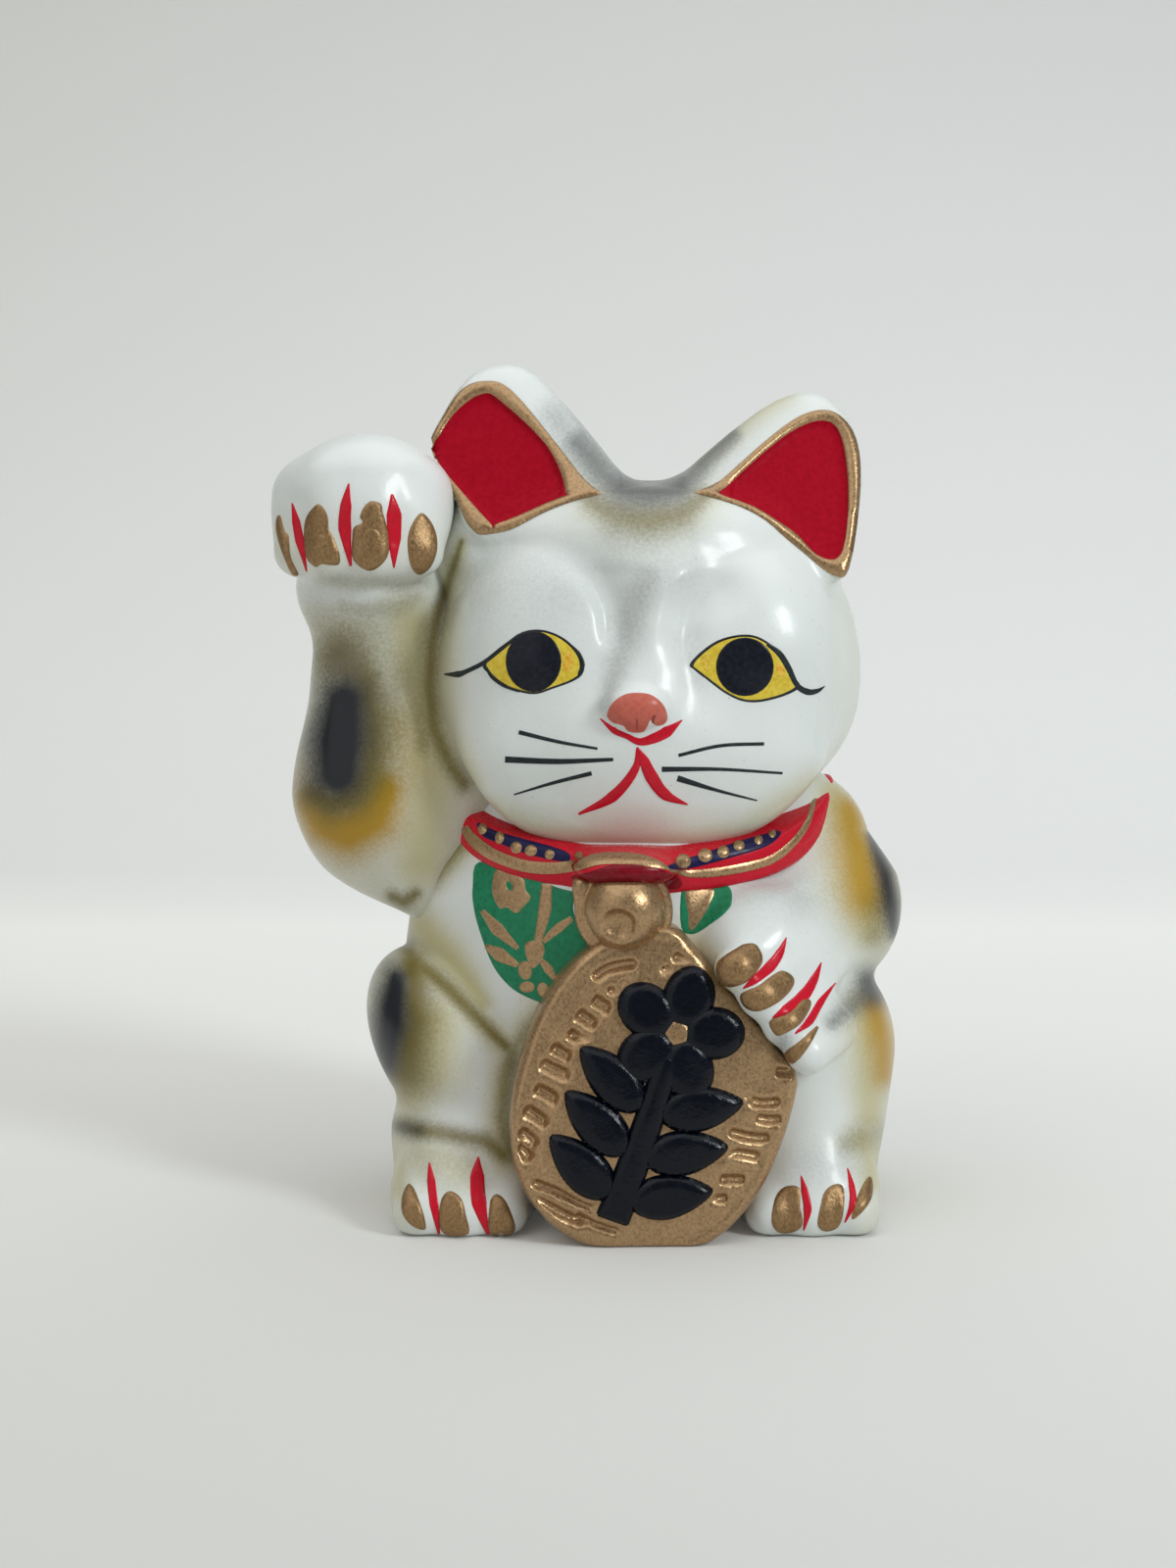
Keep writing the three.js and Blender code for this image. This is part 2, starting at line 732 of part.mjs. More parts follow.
// Coin: an oval with a crowned front, leaning back and tilted, cut flat at the floor
const coinSides = 32;
const coinSquareness = 2.3;
function onCoin(u, v, forward) {
  return [
    coinX + u * Math.cos(coinTilt) + v * Math.sin(coinTilt),
    coinY + coinLean * v - forward,
    coinZ - u * Math.sin(coinTilt) + v * Math.cos(coinTilt),
  ];
}
function coinBody(grow = 0) {
  const crown = (share) => coinEdge + coinCrown * (1 - share ** 2) + grow;
  const profile = [
    [0, -coinBacking - grow], [0.94, -coinBacking - grow], [1, -coinBacking + 2], [1, coinEdge - 2.5 + grow],
    [0.955, crown(1)], [0.84, crown(0.84)], [0.62, crown(0.62)], [0.34, crown(0.34)], [0, crown(0)],
  ].map(([share, forward]) => new THREE.Vector2(share, forward));
  const geometry = new THREE.LatheGeometry(profile, coinSides);
  const position = geometry.attributes.position;
  for (let i = 0; i < position.count; i++) {
    const [x, forward, z] = [position.getX(i), position.getY(i), position.getZ(i)];
    const share = Math.hypot(x, z);
    const across = Math.abs(x) / (coinWidth / 2 + grow);
    const along = Math.abs(z) / (coinLength / 2 + grow);
    const reach = (across ** coinSquareness + along ** coinSquareness) ** (1 / coinSquareness);
    const radius = share < 1e-6 ? 0 : share / reach;
    position.setXYZ(i, ...onCoin(x * radius, z * radius, forward));
  }
  return solid(geometry);
}
const coinGrown = coinBody(clearance);
place(
  'koban',
  trim(
    coinBody(),
    trunkGrown,
    thighGrown.right,
    thighGrown.left,
    footGrown.right,
    footGrown.left,
    underFloor,
  ),
  gold,
);

// Ornament on the coin: a plum blossom over a stem with pairs of leaves
function coinBar(shape) {
  const extent = { depth: 2 * coinEdge, bevelEnabled: false, curveSegments: 4 };
  const geometry = new THREE.ExtrudeGeometry(shape, extent);
  const position = geometry.attributes.position;
  for (let i = 0; i < position.count; i++) {
    position.setXYZ(i, ...onCoin(position.getX(i), position.getY(i), position.getZ(i) + coinEdge / 2));
  }
  return solid(geometry);
}
const petalReach = petalDiameter * 0.62;
const blossomMiddle = coinLength / 2 - ornamentMargin - petalReach - petalDiameter / 2;
const stemFoot = ornamentMargin - coinLength / 2;
const stemTip = blossomMiddle - petalDiameter / 3;
const leafPitch = (stemTip - stemFoot) / (leafPairs + 0.9);
const stem = new THREE.Shape([
  new THREE.Vector2(-stemWidth / 2, stemFoot),
  new THREE.Vector2(stemWidth / 2, stemFoot),
  new THREE.Vector2(stemWidth / 3, stemTip),
  new THREE.Vector2(-stemWidth / 3, stemTip),
]);
const bars = [coinBar(stem)];
for (let i = 0; i < leafPairs; i++) {
  for (const side of [-1, 1]) {
    const rise = Math.PI / 7;
    const reach = leafLength / 2 - stemWidth / 4;
    const leaf = new THREE.Shape();
    leaf.absellipse(
      side * Math.cos(rise) * reach,
      stemFoot + leafPitch * (i + 0.45) + Math.sin(rise) * reach,
      leafLength / 2,
      leafWidth / 2,
      0,
      2 * Math.PI,
      false,
      side * rise,
    );
    bars.push(coinBar(leaf));
  }
}
for (let i = 0; i < petalCount; i++) {
  const angle = Math.PI / 2 + (2 * Math.PI * i) / petalCount;
  const petal = new THREE.Shape();
  const middle = [Math.cos(angle) * petalReach, blossomMiddle + Math.sin(angle) * petalReach];
  petal.absarc(...middle, petalDiameter / 2, 0, 2 * Math.PI);
  bars.push(coinBar(petal));
}
const drawn = bars.reduce((all, bar) => all.add(bar));

// Lowered paw: a round back with four fingers over the coin's edge
const fingerLean = THREE.MathUtils.degToRad(25);
const fingerTips = [0, 1, 2, 3].map((finger) => [
  loweredPawX - loweredFingersReach + finger * loweredFingerPitch * 0.66,
  loweredPawZ + loweredFingerDiameter * 0.11 - finger * loweredFingerPitch * 0.78,
]);
const fingerTipY = coinY - coinEdge;
const palmEnd = (share) => [
  loweredPawX + loweredPalmLength * share * Math.cos(loweredPalmTurn),
  loweredPawY,
  loweredPawZ + loweredPalmLength * share * Math.sin(loweredPalmTurn),
];
const loweredPaw = {
  form: melt(
    5,
    roll(loweredCuff, loweredWrist, cuffDiameter / 2, loweredWristDiameter / 2),
    melt(
      3,
      roll(palmEnd(-0.35), palmEnd(0.65), loweredPalmDiameter / 2, loweredPalmHeelDiameter / 2),
      ...fingerTips.map(([x, z]) =>
        roll(
          [
            x + loweredFingerLength * Math.cos(fingerLean),
            loweredPawY - loweredPalmDiameter / 4,
            z + loweredFingerLength * Math.sin(fingerLean),
          ],
          [x, fingerTipY, z],
          loweredFingerDiameter / 2,
          loweredFingerDiameter / 2,
        ),
      ),
    ),
  ),
  centre: [loweredPawX, loweredPawY, loweredPawZ],
  columns: 28,
  rows: 18,
};
const loweredPawGrown = mould(loweredPaw, clearance);
const ornament = drawn.intersect(coinBody(clearance + ornamentProud));
place('koban_ornament', trim(ornament, coinGrown, loweredPawGrown), black);
place('lowered_paw', trim(mould(loweredPaw), trunkGrown, loweredArmGrown, thighGrown.left, coinGrown), glaze);

// Raised paw, against the ear
place('raised_paw', trim(mould(raisedPaw), headGrown, earBody(-1, clearance)), glaze);

// Bell: a flange and a dome, hung on the collar
const bellSides = 20;
function bellBody(grow = 0) {
  const [rim, dome] = [bellDiameter / 2 + grow, bellDomeDiameter / 2 + grow];
  const shoulder = bellFlange + grow;
  const arc = [0.08, 0.3, 0.55, 0.8, 1].map((share) => (share * Math.PI) / 2);
  const profile = [
    [0, -bellFlange - grow], [rim * 0.9, -bellFlange - grow], [rim, -bellFlange / 2], [rim, bellFlange / 2],
    [rim * 0.88, shoulder],
    ...arc.map((angle) => [dome * Math.cos(angle), shoulder + bellDomeHeight * Math.sin(angle)]),
  ].map(([r, forward]) => new THREE.Vector2(Math.max(r, 0), forward));
  profile[profile.length - 1].x = 0;
  return solid(new THREE.LatheGeometry(profile, bellSides).rotateX(Math.PI).translate(bellX, bellY, bellZ));
}
place('bell', trim(bellBody(), trunkGrown, headGrown, collarGrown, coinGrown), gold);

// Nose: a small oval pad on the muzzle
const nosePlace = [muzzleX, 0, jawZ + noseRise];
const noseBar = ovalBar(nosePlace, noseWidth, noseHeight, 0, headDepth);
place('nose', inlay(noseBar, head, noseProud), pink);

// Claws, laid on the fingers and toes
raisedClawPlaces.forEach((share, i) => {
  const width = raisedClawWidth * (1 - 0.45 * Math.abs(share) ** 3);
  const middle = [raisedClawX(share), raisedPawY, raisedClawZ];
  const bar = ovalBar(middle, width, raisedClawLength, 0, raisedPawDepth);
  place(`raised_claw_${i + 1}`, inlay(bar, raisedPaw, clawProud), gold);
});
fingerTips.forEach(([x, z], i) => {
  const middle = [x + loweredClawLength * 0.2, fingerTipY, z + loweredClawLength * 0.1];
  const turn = fingerLean - Math.PI / 2;
  const bar = ovalBar(middle, loweredClawWidth, loweredClawLength, turn, 2 * loweredFingerDiameter);
  place(`lowered_claw_${i + 1}`, inlay(bar, loweredPaw, clawProud, coinGrown, thighGrown.left), gold);
});
for (const [name, side] of [['right', -1], ['left', 1]]) {
  [0, 1, 2].forEach((toe) => {
    const middle = [toeX(side, toe), footToeY, toeDiameter * 0.78];
    const bar = ovalBar(middle, footClawWidth, footClawLength, 0, 2 * toeDiameter);
    place(`${name}_foot_claw_${toe + 1}`, inlay(bar, foot(side), clawProud, coinGrown), gold);
  });
}

export default cat;
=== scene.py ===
# A seated beckoning cat in painted, slip-cast earthenware.
# Forms are worked out in millimetres, as distance fields, and turned into meshes in metres.
# +X is the viewer's right, -Y the front, +Z up. Right and left in the names are the cat's own.
from math import cos, pi, radians, sin, tau
import bpy
import numpy as np
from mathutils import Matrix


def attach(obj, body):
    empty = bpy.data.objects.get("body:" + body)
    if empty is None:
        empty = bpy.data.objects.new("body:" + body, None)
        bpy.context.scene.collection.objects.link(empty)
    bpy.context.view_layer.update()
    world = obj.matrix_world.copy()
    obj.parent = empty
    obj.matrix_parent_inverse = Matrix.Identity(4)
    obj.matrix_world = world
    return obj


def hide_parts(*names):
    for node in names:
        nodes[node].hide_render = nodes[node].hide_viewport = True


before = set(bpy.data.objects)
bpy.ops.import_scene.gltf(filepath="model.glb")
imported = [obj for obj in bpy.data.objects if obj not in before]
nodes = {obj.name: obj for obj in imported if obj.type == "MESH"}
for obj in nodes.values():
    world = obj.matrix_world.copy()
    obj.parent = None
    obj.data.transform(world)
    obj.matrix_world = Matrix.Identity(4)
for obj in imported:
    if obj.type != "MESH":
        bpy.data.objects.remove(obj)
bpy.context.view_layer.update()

import openvdb
from mathutils import Vector
from mathutils.bvhtree import BVHTree
from mathutils.geometry import delaunay_2d_cdt

scene = bpy.context.scene

# Camera at the photograph's viewing angle
PHOTO = (1200, 1600)
FOCAL = 2672.24
ELEVATION = radians(6)
LOOK_AT = np.array([-8.393, 0.0, 74.746])
DISTANCE = 480
FORWARD = np.array([0, cos(ELEVATION), -sin(ELEVATION)])
UPWARD = np.array([0, sin(ELEVATION), cos(ELEVATION)])
EYE_POINT = LOOK_AT - DISTANCE * FORWARD

camera = bpy.data.objects.new("camera", bpy.data.cameras.new("camera"))
camera.data.sensor_width = 36
camera.data.lens = FOCAL * 36 / PHOTO[1]
camera.location = EYE_POINT / 1000
camera.rotation_euler = (pi / 2 - ELEVATION, 0, 0)
scene.collection.objects.link(camera)
scene.camera = camera


def sight_lines(pixels):
    """Directions from the eye through pixels of the photograph's frame."""
    right = (pixels[:, 0] - PHOTO[0] / 2) / FOCAL
    up = (PHOTO[1] / 2 - pixels[:, 1]) / FOCAL
    return FORWARD + right[:, None] * np.array([1.0, 0, 0]) + up[:, None] * UPWARD


# Distance fields. Each takes an array of points and gives the distance to a form's skin, negative inside.
def egg(centre, radii):
    centre = np.array(centre, float)
    radii = np.array(radii, float)

    def form(p):
        q = (p - centre) / radii
        share = np.sqrt((q * q).sum(1)) + 1e-9
        slope = np.sqrt(((q / radii) ** 2).sum(1)) + 1e-9
        return share * (share - 1) / slope

    return form


def roll(start, end, radius, end_radius):
    start = np.array(start, float)
    along = np.array(end, float) - start
    square = along @ along

    def form(p):
        q = p - start
        t = np.clip(q @ along / square, 0, 1)
        return np.linalg.norm(q - t[:, None] * along, axis=1) - (radius + (end_radius - radius) * t)

    return form


def soften(a, b, width):
    h = np.clip(0.5 + 0.5 * (b - a) / width, 0, 1)
    return b + (a - b) * h - width * h * (1 - h)


def pare(a, b, width):
    return -soften(-a, -b, width)


def melt(width, *forms):
    def form(p):
        d = forms[0](p)
        for other in forms[1:]:
            d = soften(d, other(p), width)
        return d

    return form


def join(p, first, *others):
    """Distances to forms that melt together one after another, each by a width of its own."""
    d = first(p)
    for form, width in others:
        d = soften(d, form(p), width)
    return d


def near(form, low, high, margin=8):
    """The form, worked out only inside a box. Outside, the distance to the box does."""
    low = np.array(low, float)
    high = np.array(high, float)

    def boxed(p):
        gap = np.maximum(np.maximum(low - p, p - high), 0)
        d = np.sqrt((gap * gap).sum(1)) + margin
        inside = d <= margin
        if inside.any():
            d[inside] = form(p[inside])
        return d

    return boxed


def smooth_loop(points, steps=4, closed=True):
    """A Catmull-Rom curve through the points."""
    points = np.array(points, float)
    if closed:
        ring = np.vstack([points[-1:], points, points[:2]])
    else:
        first = 2 * points[0] - points[1]
        last = 2 * points[-1] - points[-2]
        ring = np.vstack([first[None], points, last[None]])
    t = np.arange(steps)[:, None] / steps
    parts = []
    for i in range(len(ring) - 3):
        a, b, c, d = ring[i : i + 4]
        square = (2 * a - 5 * b + 4 * c - d) * t**2
        cube = (3 * b - a - 3 * c + d) * t**3
        parts.append(0.5 * (2 * b + (c - a) * t + square + cube))
    if not closed:
        parts.append(points[-1:])
    return np.vstack(parts)


def loop_distance(u, v, loop):
    """Distance to a closed loop in a plane, negative inside it."""
    d = np.full(u.shape, 1e9)
    inside = np.zeros(u.shape, bool)
    for (x0, y0), (x1, y1) in zip(loop, np.roll(loop, -1, 0)):
        ex, ey = x1 - x0, y1 - y0
        wx, wy = u - x0, v - y0
        t = np.clip((wx * ex + wy * ey) / (ex * ex + ey * ey + 1e-12), 0, 1)
        d = np.minimum(d, (wx - ex * t) ** 2 + (wy - ey * t) ** 2)
        crosses = ((y0 > v) != (y1 > v)) & (u < ex * (v - y0) / (ey + 1e-12 * (ey == 0)) + x0)
        inside ^= crosses
    return np.where(inside, -1, 1) * np.sqrt(d)


def beside(u, v, line):
    """Distance to the right of a line that runs down, and how far along it, from 0 to 1."""
    best = np.full(u.shape, 1e9)
    side = np.zeros(u.shape)
    along = np.zeros(u.shape)
    count = len(line) - 1
    for i in range(count):
        (x0, y0), (x1, y1) = line[i], line[i + 1]
        ex, ey = x1 - x0, y1 - y0
        wx, wy = u - x0, v - y0
        t = np.clip((wx * ex + wy * ey) / (ex * ex + ey * ey), 0, 1)
        d = (wx - ex * t) ** 2 + (wy - ey * t) ** 2
        near_by = d < best
        best = np.where(near_by, d, best)
        side = np.where(near_by, np.sign(ex * wy - ey * wx), side)
        along = np.where(near_by, (i + t) / count, along)
    return side * np.sqrt(best), along


def ridge(u, v, line, left, right, fade=(0.15, 0.15)):
    """A soft ridge along a line, with a width of its own on each side, that fades out at both ends."""
    d, along = beside(u, v, line)
    ends = np.clip(along / fade[0], 0, 1) * np.clip((1 - along) / fade[1], 0, 1)
    ends = ends * ends * (3 - 2 * ends)
    return ends * np.exp(-((d / np.where(d < 0, left, right)) ** 2))


def brush_mark(points, widths, steps=10):
    """The outline of a brush stroke from its middle line and its widths."""
    line = smooth_loop(points, steps, closed=False)
    stops = np.linspace(0, 1, len(widths))
    half = np.interp(np.linspace(0, 1, len(line)), stops, widths) / 2
    ahead = np.gradient(line, axis=0)
    across = np.stack([-ahead[:, 1], ahead[:, 0]], 1) / (np.linalg.norm(ahead, axis=1)[:, None] + 1e-9)
    return np.vstack([line + across * half[:, None], (line - across * half[:, None])[::-1]])


def oval(cx, cy, rx, ry, turn=0.0, count=28):
    a = np.linspace(0, tau, count, endpoint=False)
    x, y = rx * np.cos(a), ry * np.sin(a)
    t = radians(turn)
    return np.stack([cx + x * cos(t) - y * sin(t), cy + x * sin(t) + y * cos(t)], 1)


def leaf(u, v, length, width, turn):
    t = np.linspace(0, 1, 16)
    half = width / 2 * np.sin(pi * t**0.8) ** 0.7
    x = np.concatenate([t * length, t[::-1] * length])
    y = np.concatenate([half, -half[::-1]])
    a = radians(turn)
    return np.stack([u + x * cos(a) - y * sin(a), v + x * sin(a) + y * cos(a)], 1)


def gradient(form, p, reach=0.05):
    slopes = [form(p + reach * axis) - form(p - reach * axis) for axis in np.eye(3)]
    return np.stack(slopes, 1) / (2 * reach)


def settle(form, p, rounds=2, most=1.0):
    """Moves points onto a form's skin."""
    for _ in range(rounds):
        g = gradient(form, p)
        step = np.clip(form(p) / ((g * g).sum(1) + 1e-6), -most, most)
        p = p - g * step[:, None]
    return p


HALF_ROOT_3 = 0.87
COARSE = 4
BATCH = 300_000


def skin(form, low, high, pitch, band=3.0):
    """Quads on a form's skin. A coarse grid finds the cells near it, and only those are worked out."""
    low = np.array(low, float)
    coarse = pitch * COARSE
    counts = np.ceil((np.array(high, float) - low) / coarse).astype(int) + 1
    axes = [low[i] + coarse * (np.arange(counts[i]) + 0.5) for i in range(3)]
    centres = np.stack(np.meshgrid(*axes, indexing="ij"), -1).reshape(-1, 3)
    rough = form(centres).reshape(counts)
    values = np.sign(rough).astype(np.float32) * band
    for axis in range(3):
        values = np.repeat(values, COARSE, axis)
    cells = np.argwhere(np.abs(rough) < coarse * HALF_ROOT_3 + band * 0.7) * COARSE
    offsets = np.stack(np.meshgrid(*[np.arange(COARSE)] * 3, indexing="ij"), -1).reshape(-1, 3)
    index = (cells[:, None] + offsets).reshape(-1, 3)
    for start in range(0, len(index), BATCH):
        part = index[start : start + BATCH]
        values[tuple(part.T)] = np.clip(form(low + part * pitch), -band, band)
    grid = openvdb.FloatGrid(band)
    grid.copyFromArray(values)
    points, quads = grid.convertToQuads(0.0)
    points = settle(form, points.astype(float) * pitch + low, 2, pitch / 2)
    return points, quads[:, ::-1].astype(int)


# Clay forms of the cat
WALL = 4
skull = melt(10, egg((1.8, 0, 102), (37.8, 28.5, 28)), egg((1.8, 0, 90), (37.8, 28.5, 24)))
CHEEK_ROUND = (16.5, 12.5, 13)
right_cheek = melt(4, egg((-15.4, -16.5, 99), (16.4, 13.8, 19.5)), egg((-14.5, -18.5, 84.5), CHEEK_ROUND))
left_cheek = melt(4, egg((19, -16.5, 98.5), (16.6, 13.8, 19.5)), egg((17, -18.5, 84), CHEEK_ROUND))
chin = egg((0.5, -20, 77.5), (26, 11, 14))
muzzle = egg((0.1, -25.5, 85.5), (15, 9.6, 10))
brow = melt(4, egg((1.8, -14.4, 119.5), (22, 10.6, 8.5)), egg((2.2, -18.5, 112.5), (9.5, 9.6, 7.5)))
bridge = roll((3.4, -22.8, 111), (1.6, -29.4, 94), 5.2, 4.9)
nose = egg((-0.3, -34.6, 91.3), (5.6, 3.6, 3.9))
NOSTRILS = (
    roll((-0.1, -38.4, 87.4), (0.1, -38.7, 89.6), 0.5, 0.35),
    roll((2.2, -37.6, 88.2), (3.3, -37.2, 89.9), 0.5, 0.3),
    roll((-2.8, -37.4, 88.3), (-3.9, -36.8, 89.6), 0.45, 0.3),
)
CREASE = [(-17, 116.5), (-10.6, 114.2), (-7.7, 111.8), (-5.7, 107.8), (-5.2, 103.8), (-5.4, 99.9)]
CREST = [(18, 116), (10.7, 115), (6.7, 113.2), (4.3, 110.3), (3.3, 106.8), (2.2, 102.9), (1, 97.9)]
VALLEY = [(21, 113), (15, 111), (10, 107.5), (7.8, 102.5), (6.6, 96.5)]
CREASE, CREST, VALLEY = (smooth_loop(line, 4, False) for line in (CREASE, CREST, VALLEY))


def modelling(p):
    """How far the modelling of the forehead stands out of the plain forms."""
    out = np.zeros(len(p))
    front = (p[:, 1] < -8) & (np.abs(p[:, 0]) < 28) & (p[:, 2] > 88) & (p[:, 2] < 124)
    x, _, z = p[front].T
    hollow = np.exp(-(((x + 1.5) / 6.5) ** 2) - ((z - 108.5) / 7) ** 2) * np.clip((116.2 - z) / 2.2, 0, 1)
    out[front] = (
        1.0 * ridge(x, z, CREST, 4.0, 1.6, (0.3, 0.3))
        - 1.1 * ridge(x, z, CREASE, 1.2, 4.0, (0.35, 0.25))
        - 1.6 * ridge(x, z, VALLEY, 3.0, 3.6, (0.3, 0.35))
        - 1.0 * hollow
    )
    return out


temple = egg((-27.5, -4.5, 117.5), (9.5, 10, 10.5))


def face(p):
    forehead = melt(4, brow, bridge)
    d = join(p, right_cheek, (left_cheek, 2), (chin, 5), (forehead, 2.2), (muzzle, 7), (nose, 0.9))
    for nostril in NOSTRILS:
        d = pare(d, -nostril(p), 0.5)
    return d


# Ears: the outlines of the gold and the red from the front, a place on the front plane, which side
# the ear is on, how far its back shifts inwards, and where it starts to thin towards the tip
EAR_RIGHT = {
    "gold": [(-27.0, 147.9), (-22.1, 146.3), (-14.1, 136.9), (-6.6, 126.6), (-8.2, 124.6), (-24.9, 120.6)]
    + [(-29, 121.4), (-31.8, 126), (-36.7, 135.3), (-34.7, 141.1), (-31.3, 146.2)],
    "red": [(-27.1, 144.9), (-24.2, 143.8), (-15.7, 135.6), (-12.2, 127.2), (-12.9, 125.6), (-24, 122.4)]
    + [(-25.6, 122.6), (-35.1, 134.1), (-34.3, 137.9), (-31.2, 142.3)],
    "front": (-25, -13, 130),
    "side": -1,
    "shift": 3.4,
    "bottom": 120,
}
EAR_LEFT = {
    "gold": [(33.4, 142.8), (25.9, 139.5), (11.5, 126.8), (11.5, 124.4), (23.5, 121), (34.4, 113.4)]
    + [(37.6, 114.2), (39.9, 125.6), (40.2, 134.8), (38.1, 140.4)],
    "red": [(33.3, 140.2), (26.2, 137.2), (15.2, 127.5), (15.1, 124.9), (20.5, 123.7), (27.4, 121)]
    + [(31.9, 116.9), (35.8, 117.3), (37.3, 127.2), (36.4, 137.2)],
    "front": (28, -13, 128),
    "side": 1,
    "shift": 2.8,
    "bottom": 116,
}
EAR_TURN = 0.12
EAR_RAKE = 0.42
EAR_SWELL = 8


def ear_front(shape, x, z):
    """Where the plane of an ear's front is, turned outwards and raked back."""
    x0, y0, z0 = shape["front"]
    return y0 + EAR_TURN * shape["side"] * (x - x0) + EAR_RAKE * (z - z0)


def ear(shape):
    """An ear that swells behind its front plane, with the red hollow pressed into it."""
    gold = smooth_loop(shape["gold"], 3)
    red = smooth_loop(shape["red"], 3)
    side = shape["side"]
    lean = (1 + EAR_TURN**2 + EAR_RAKE**2) ** -0.5

    def form(p):
        x, y, z = p.T
        behind = y - ear_front(shape, x, z)
        back = np.clip(behind, 0, EAR_SWELL) / EAR_SWELL
        back = back * (2 - back)
        rise = np.clip((z - shape["bottom"]) / 30, 0, 1)
        edge = loop_distance(x + shape["shift"] * side * back, z - 1.6 * back, gold) - 2.1 * back
        depth = 19 - 9 * rise
        d = pare(edge, -behind * lean, 2.2)
        d = pare(d, (behind - depth) * lean, 7)
        floor = loop_distance(x, z, red)
        return pare(d, -np.maximum(floor + 0.1, behind * lean - 0.6), 1.0)

    xs = [u for u, _ in shape["gold"]]
    zs = [v for _, v in shape["gold"]]
    return near(form, (min(xs) - 14, -40, min(zs) - 14), (max(xs) + 14, 30, max(zs) + 14))


ear_right = ear(EAR_RIGHT)
ear_left = ear(EAR_LEFT)


def head(p):
    d = join(p, skull, (temple, 5), (face, 6)) - modelling(p)
    d = soften(d, ear_right(p), 4)
    return soften(d, ear_left(p), 4)


# Raised arm and paw
upper_arm = egg((-41, -2, 73.5), (20, 15.5, 19.8))
forearm = roll((-47.2, -2.5, 74), (-47.2, -4.5, 104), 13.4, 10.4)
palm = egg((-47.8, -10, 125.0), (15.3, 15.3, 13.2))
RAISED_FINGERS = [(-58.9, 117.5, -16.0), (-52.8, 117, -19.6), (-45.3, 117, -20.4), (-38.2, 117.5, -18.0)]
fingers_raised = [roll((x, y + 5.5, 127.5), (x, y, z), 4.9, 4.6) for x, z, y in RAISED_FINGERS]
wrist = egg((-48.6, -7, 111), (12, 10, 8.5))
wrist_fold = egg((-47, -8.6, 109.3), (10.6, 9.4, 3.4))
KNUCKLES = [(-60, 126), (-58.5, 129), (-55.5, 131.8), (-51.2, 133)]
KNUCKLES += [(-45.6, 133.2), (-40.6, 132), (-38.6, 129.4)]
KNUCKLES = smooth_loop(KNUCKLES, 3, False)
elbow = roll((-49.7, -3, 65.6), (-37, -4, 57), 7.4, 7.0)
web = egg((-37, -3, 102), (7.5, 8, 16))
paw = melt(4, palm, *fingers_raised)


def raised_arm(p):
    d = join(p, upper_arm, (forearm, 6), (elbow, 4), (web, 5), (wrist, 6), (wrist_fold, 3), (paw, 4))
    front = (p[:, 1] < -12) & (p[:, 2] > 114)
    x, y, z = p[front].T
    grooves = sum(np.exp(-(((x - middle) / 1.8) ** 2)) for middle in (-57.4, -50.2, -41.6))
    grooves *= np.clip((z - 115) / 4, 0, 1) * np.clip((134 - z) / 7, 0, 1)
    relief = 0.5 * ridge(x, z, KNUCKLES, 2.2, 2.2, (0.2, 0.2)) - 0.3 * grooves
    d[front] -= relief * np.clip((-12 - y) / 5, 0, 1)
    return d


# Trunk, lowered arm, legs and tail
trunk = melt(
    8,
    egg((-0.3, 3, 40), (42, 32, 48)),
    egg((0, 3, 60), (38, 28, 18)),
    egg((0, -13, 50), (25, 19.2, 22)),
    egg((0, 3, 8), (43, 30, 16)),
)
LEG_TURN = radians(48.7)


def thigh_right(p):
    """An egg whose long axis leans, from the flank down to the coin."""
    q = p - np.array([-28.3, -7, 24.8])
    u = q[:, 0] * cos(LEG_TURN) - q[:, 2] * sin(LEG_TURN)
    v = q[:, 0] * sin(LEG_TURN) + q[:, 2] * cos(LEG_TURN)
    return egg((0, 0, 0), (25.5, 21, 15.2))(np.stack([u, q[:, 1], v], 1))


thigh_left = egg((26, -7, 28), (21.4, 25.5, 20.4))
shin_right = egg((-29.5, -9, 13), (14.6, 22, 11))
shin_left = egg((29.5, -9, 13), (14.4, 22, 11))


def foot(side, toes):
    parts = [roll((side * 30.5, -10, 4.25), (side * 30.5, -24.5, 4.25), 12.75, 12.75)]
    parts += [roll((x, -27.2, 7), (x, -33.5, 3.6), 4.5, 4.5) for x in toes]
    return melt(1.8, *parts)


foot_right = foot(-1, (-37.7, -30.5, -23.3))
foot_left = foot(1, (23.3, 30.5, 37.7))


def leg_right(p):
    return join(p, shin_right, (foot_right, 4), (thigh_right, 3))


def leg_left(p):
    return join(p, shin_left, (foot_left, 5), (thigh_left, 9))


upper_arm_left = roll((29.8, -2.5, 54.5), (28, -0.5, 63), 18.2, 15.2)
forearm_left = roll((34, -9, 52.5), (23, -25.5, 47.5), 12.6, 10.8)
palm_left = roll((19.5, -27.5, 49.5), (27, -25.6, 43.4), 9.4, 6.8)
LOWERED_FINGERS = [(13.9 + 4.09 * i, 47.1 - 4.84 * i) for i in range(4)]
fingers_lowered = [
    roll((x + 7.5, -31.5, z + 2.8), (x + 2.8, -39.4, z + 0.4), 4.4, 3.7) for x, z in LOWERED_FINGERS
]
tail = roll((-9.5, 30, 14), (9.5, 35, 9), 6.5, 5.2)


def lowered_arm(p):
    fingers = [(finger, 3.2) for finger in fingers_lowered]
    return join(p, upper_arm_left, (forearm_left, 6), (palm_left, 6), *fingers)


def under_hollow(p):
    """The hollow foot of the casting that holds the base plate, and the hole above its vent."""
    plate = np.maximum(trunk(p) + WALL, p[:, 2] - 4.4)
    vent = np.maximum(np.hypot(p[:, 0], p[:, 1] - 15) - 6.4, p[:, 2] - 24)
    return np.minimum(plate, vent)


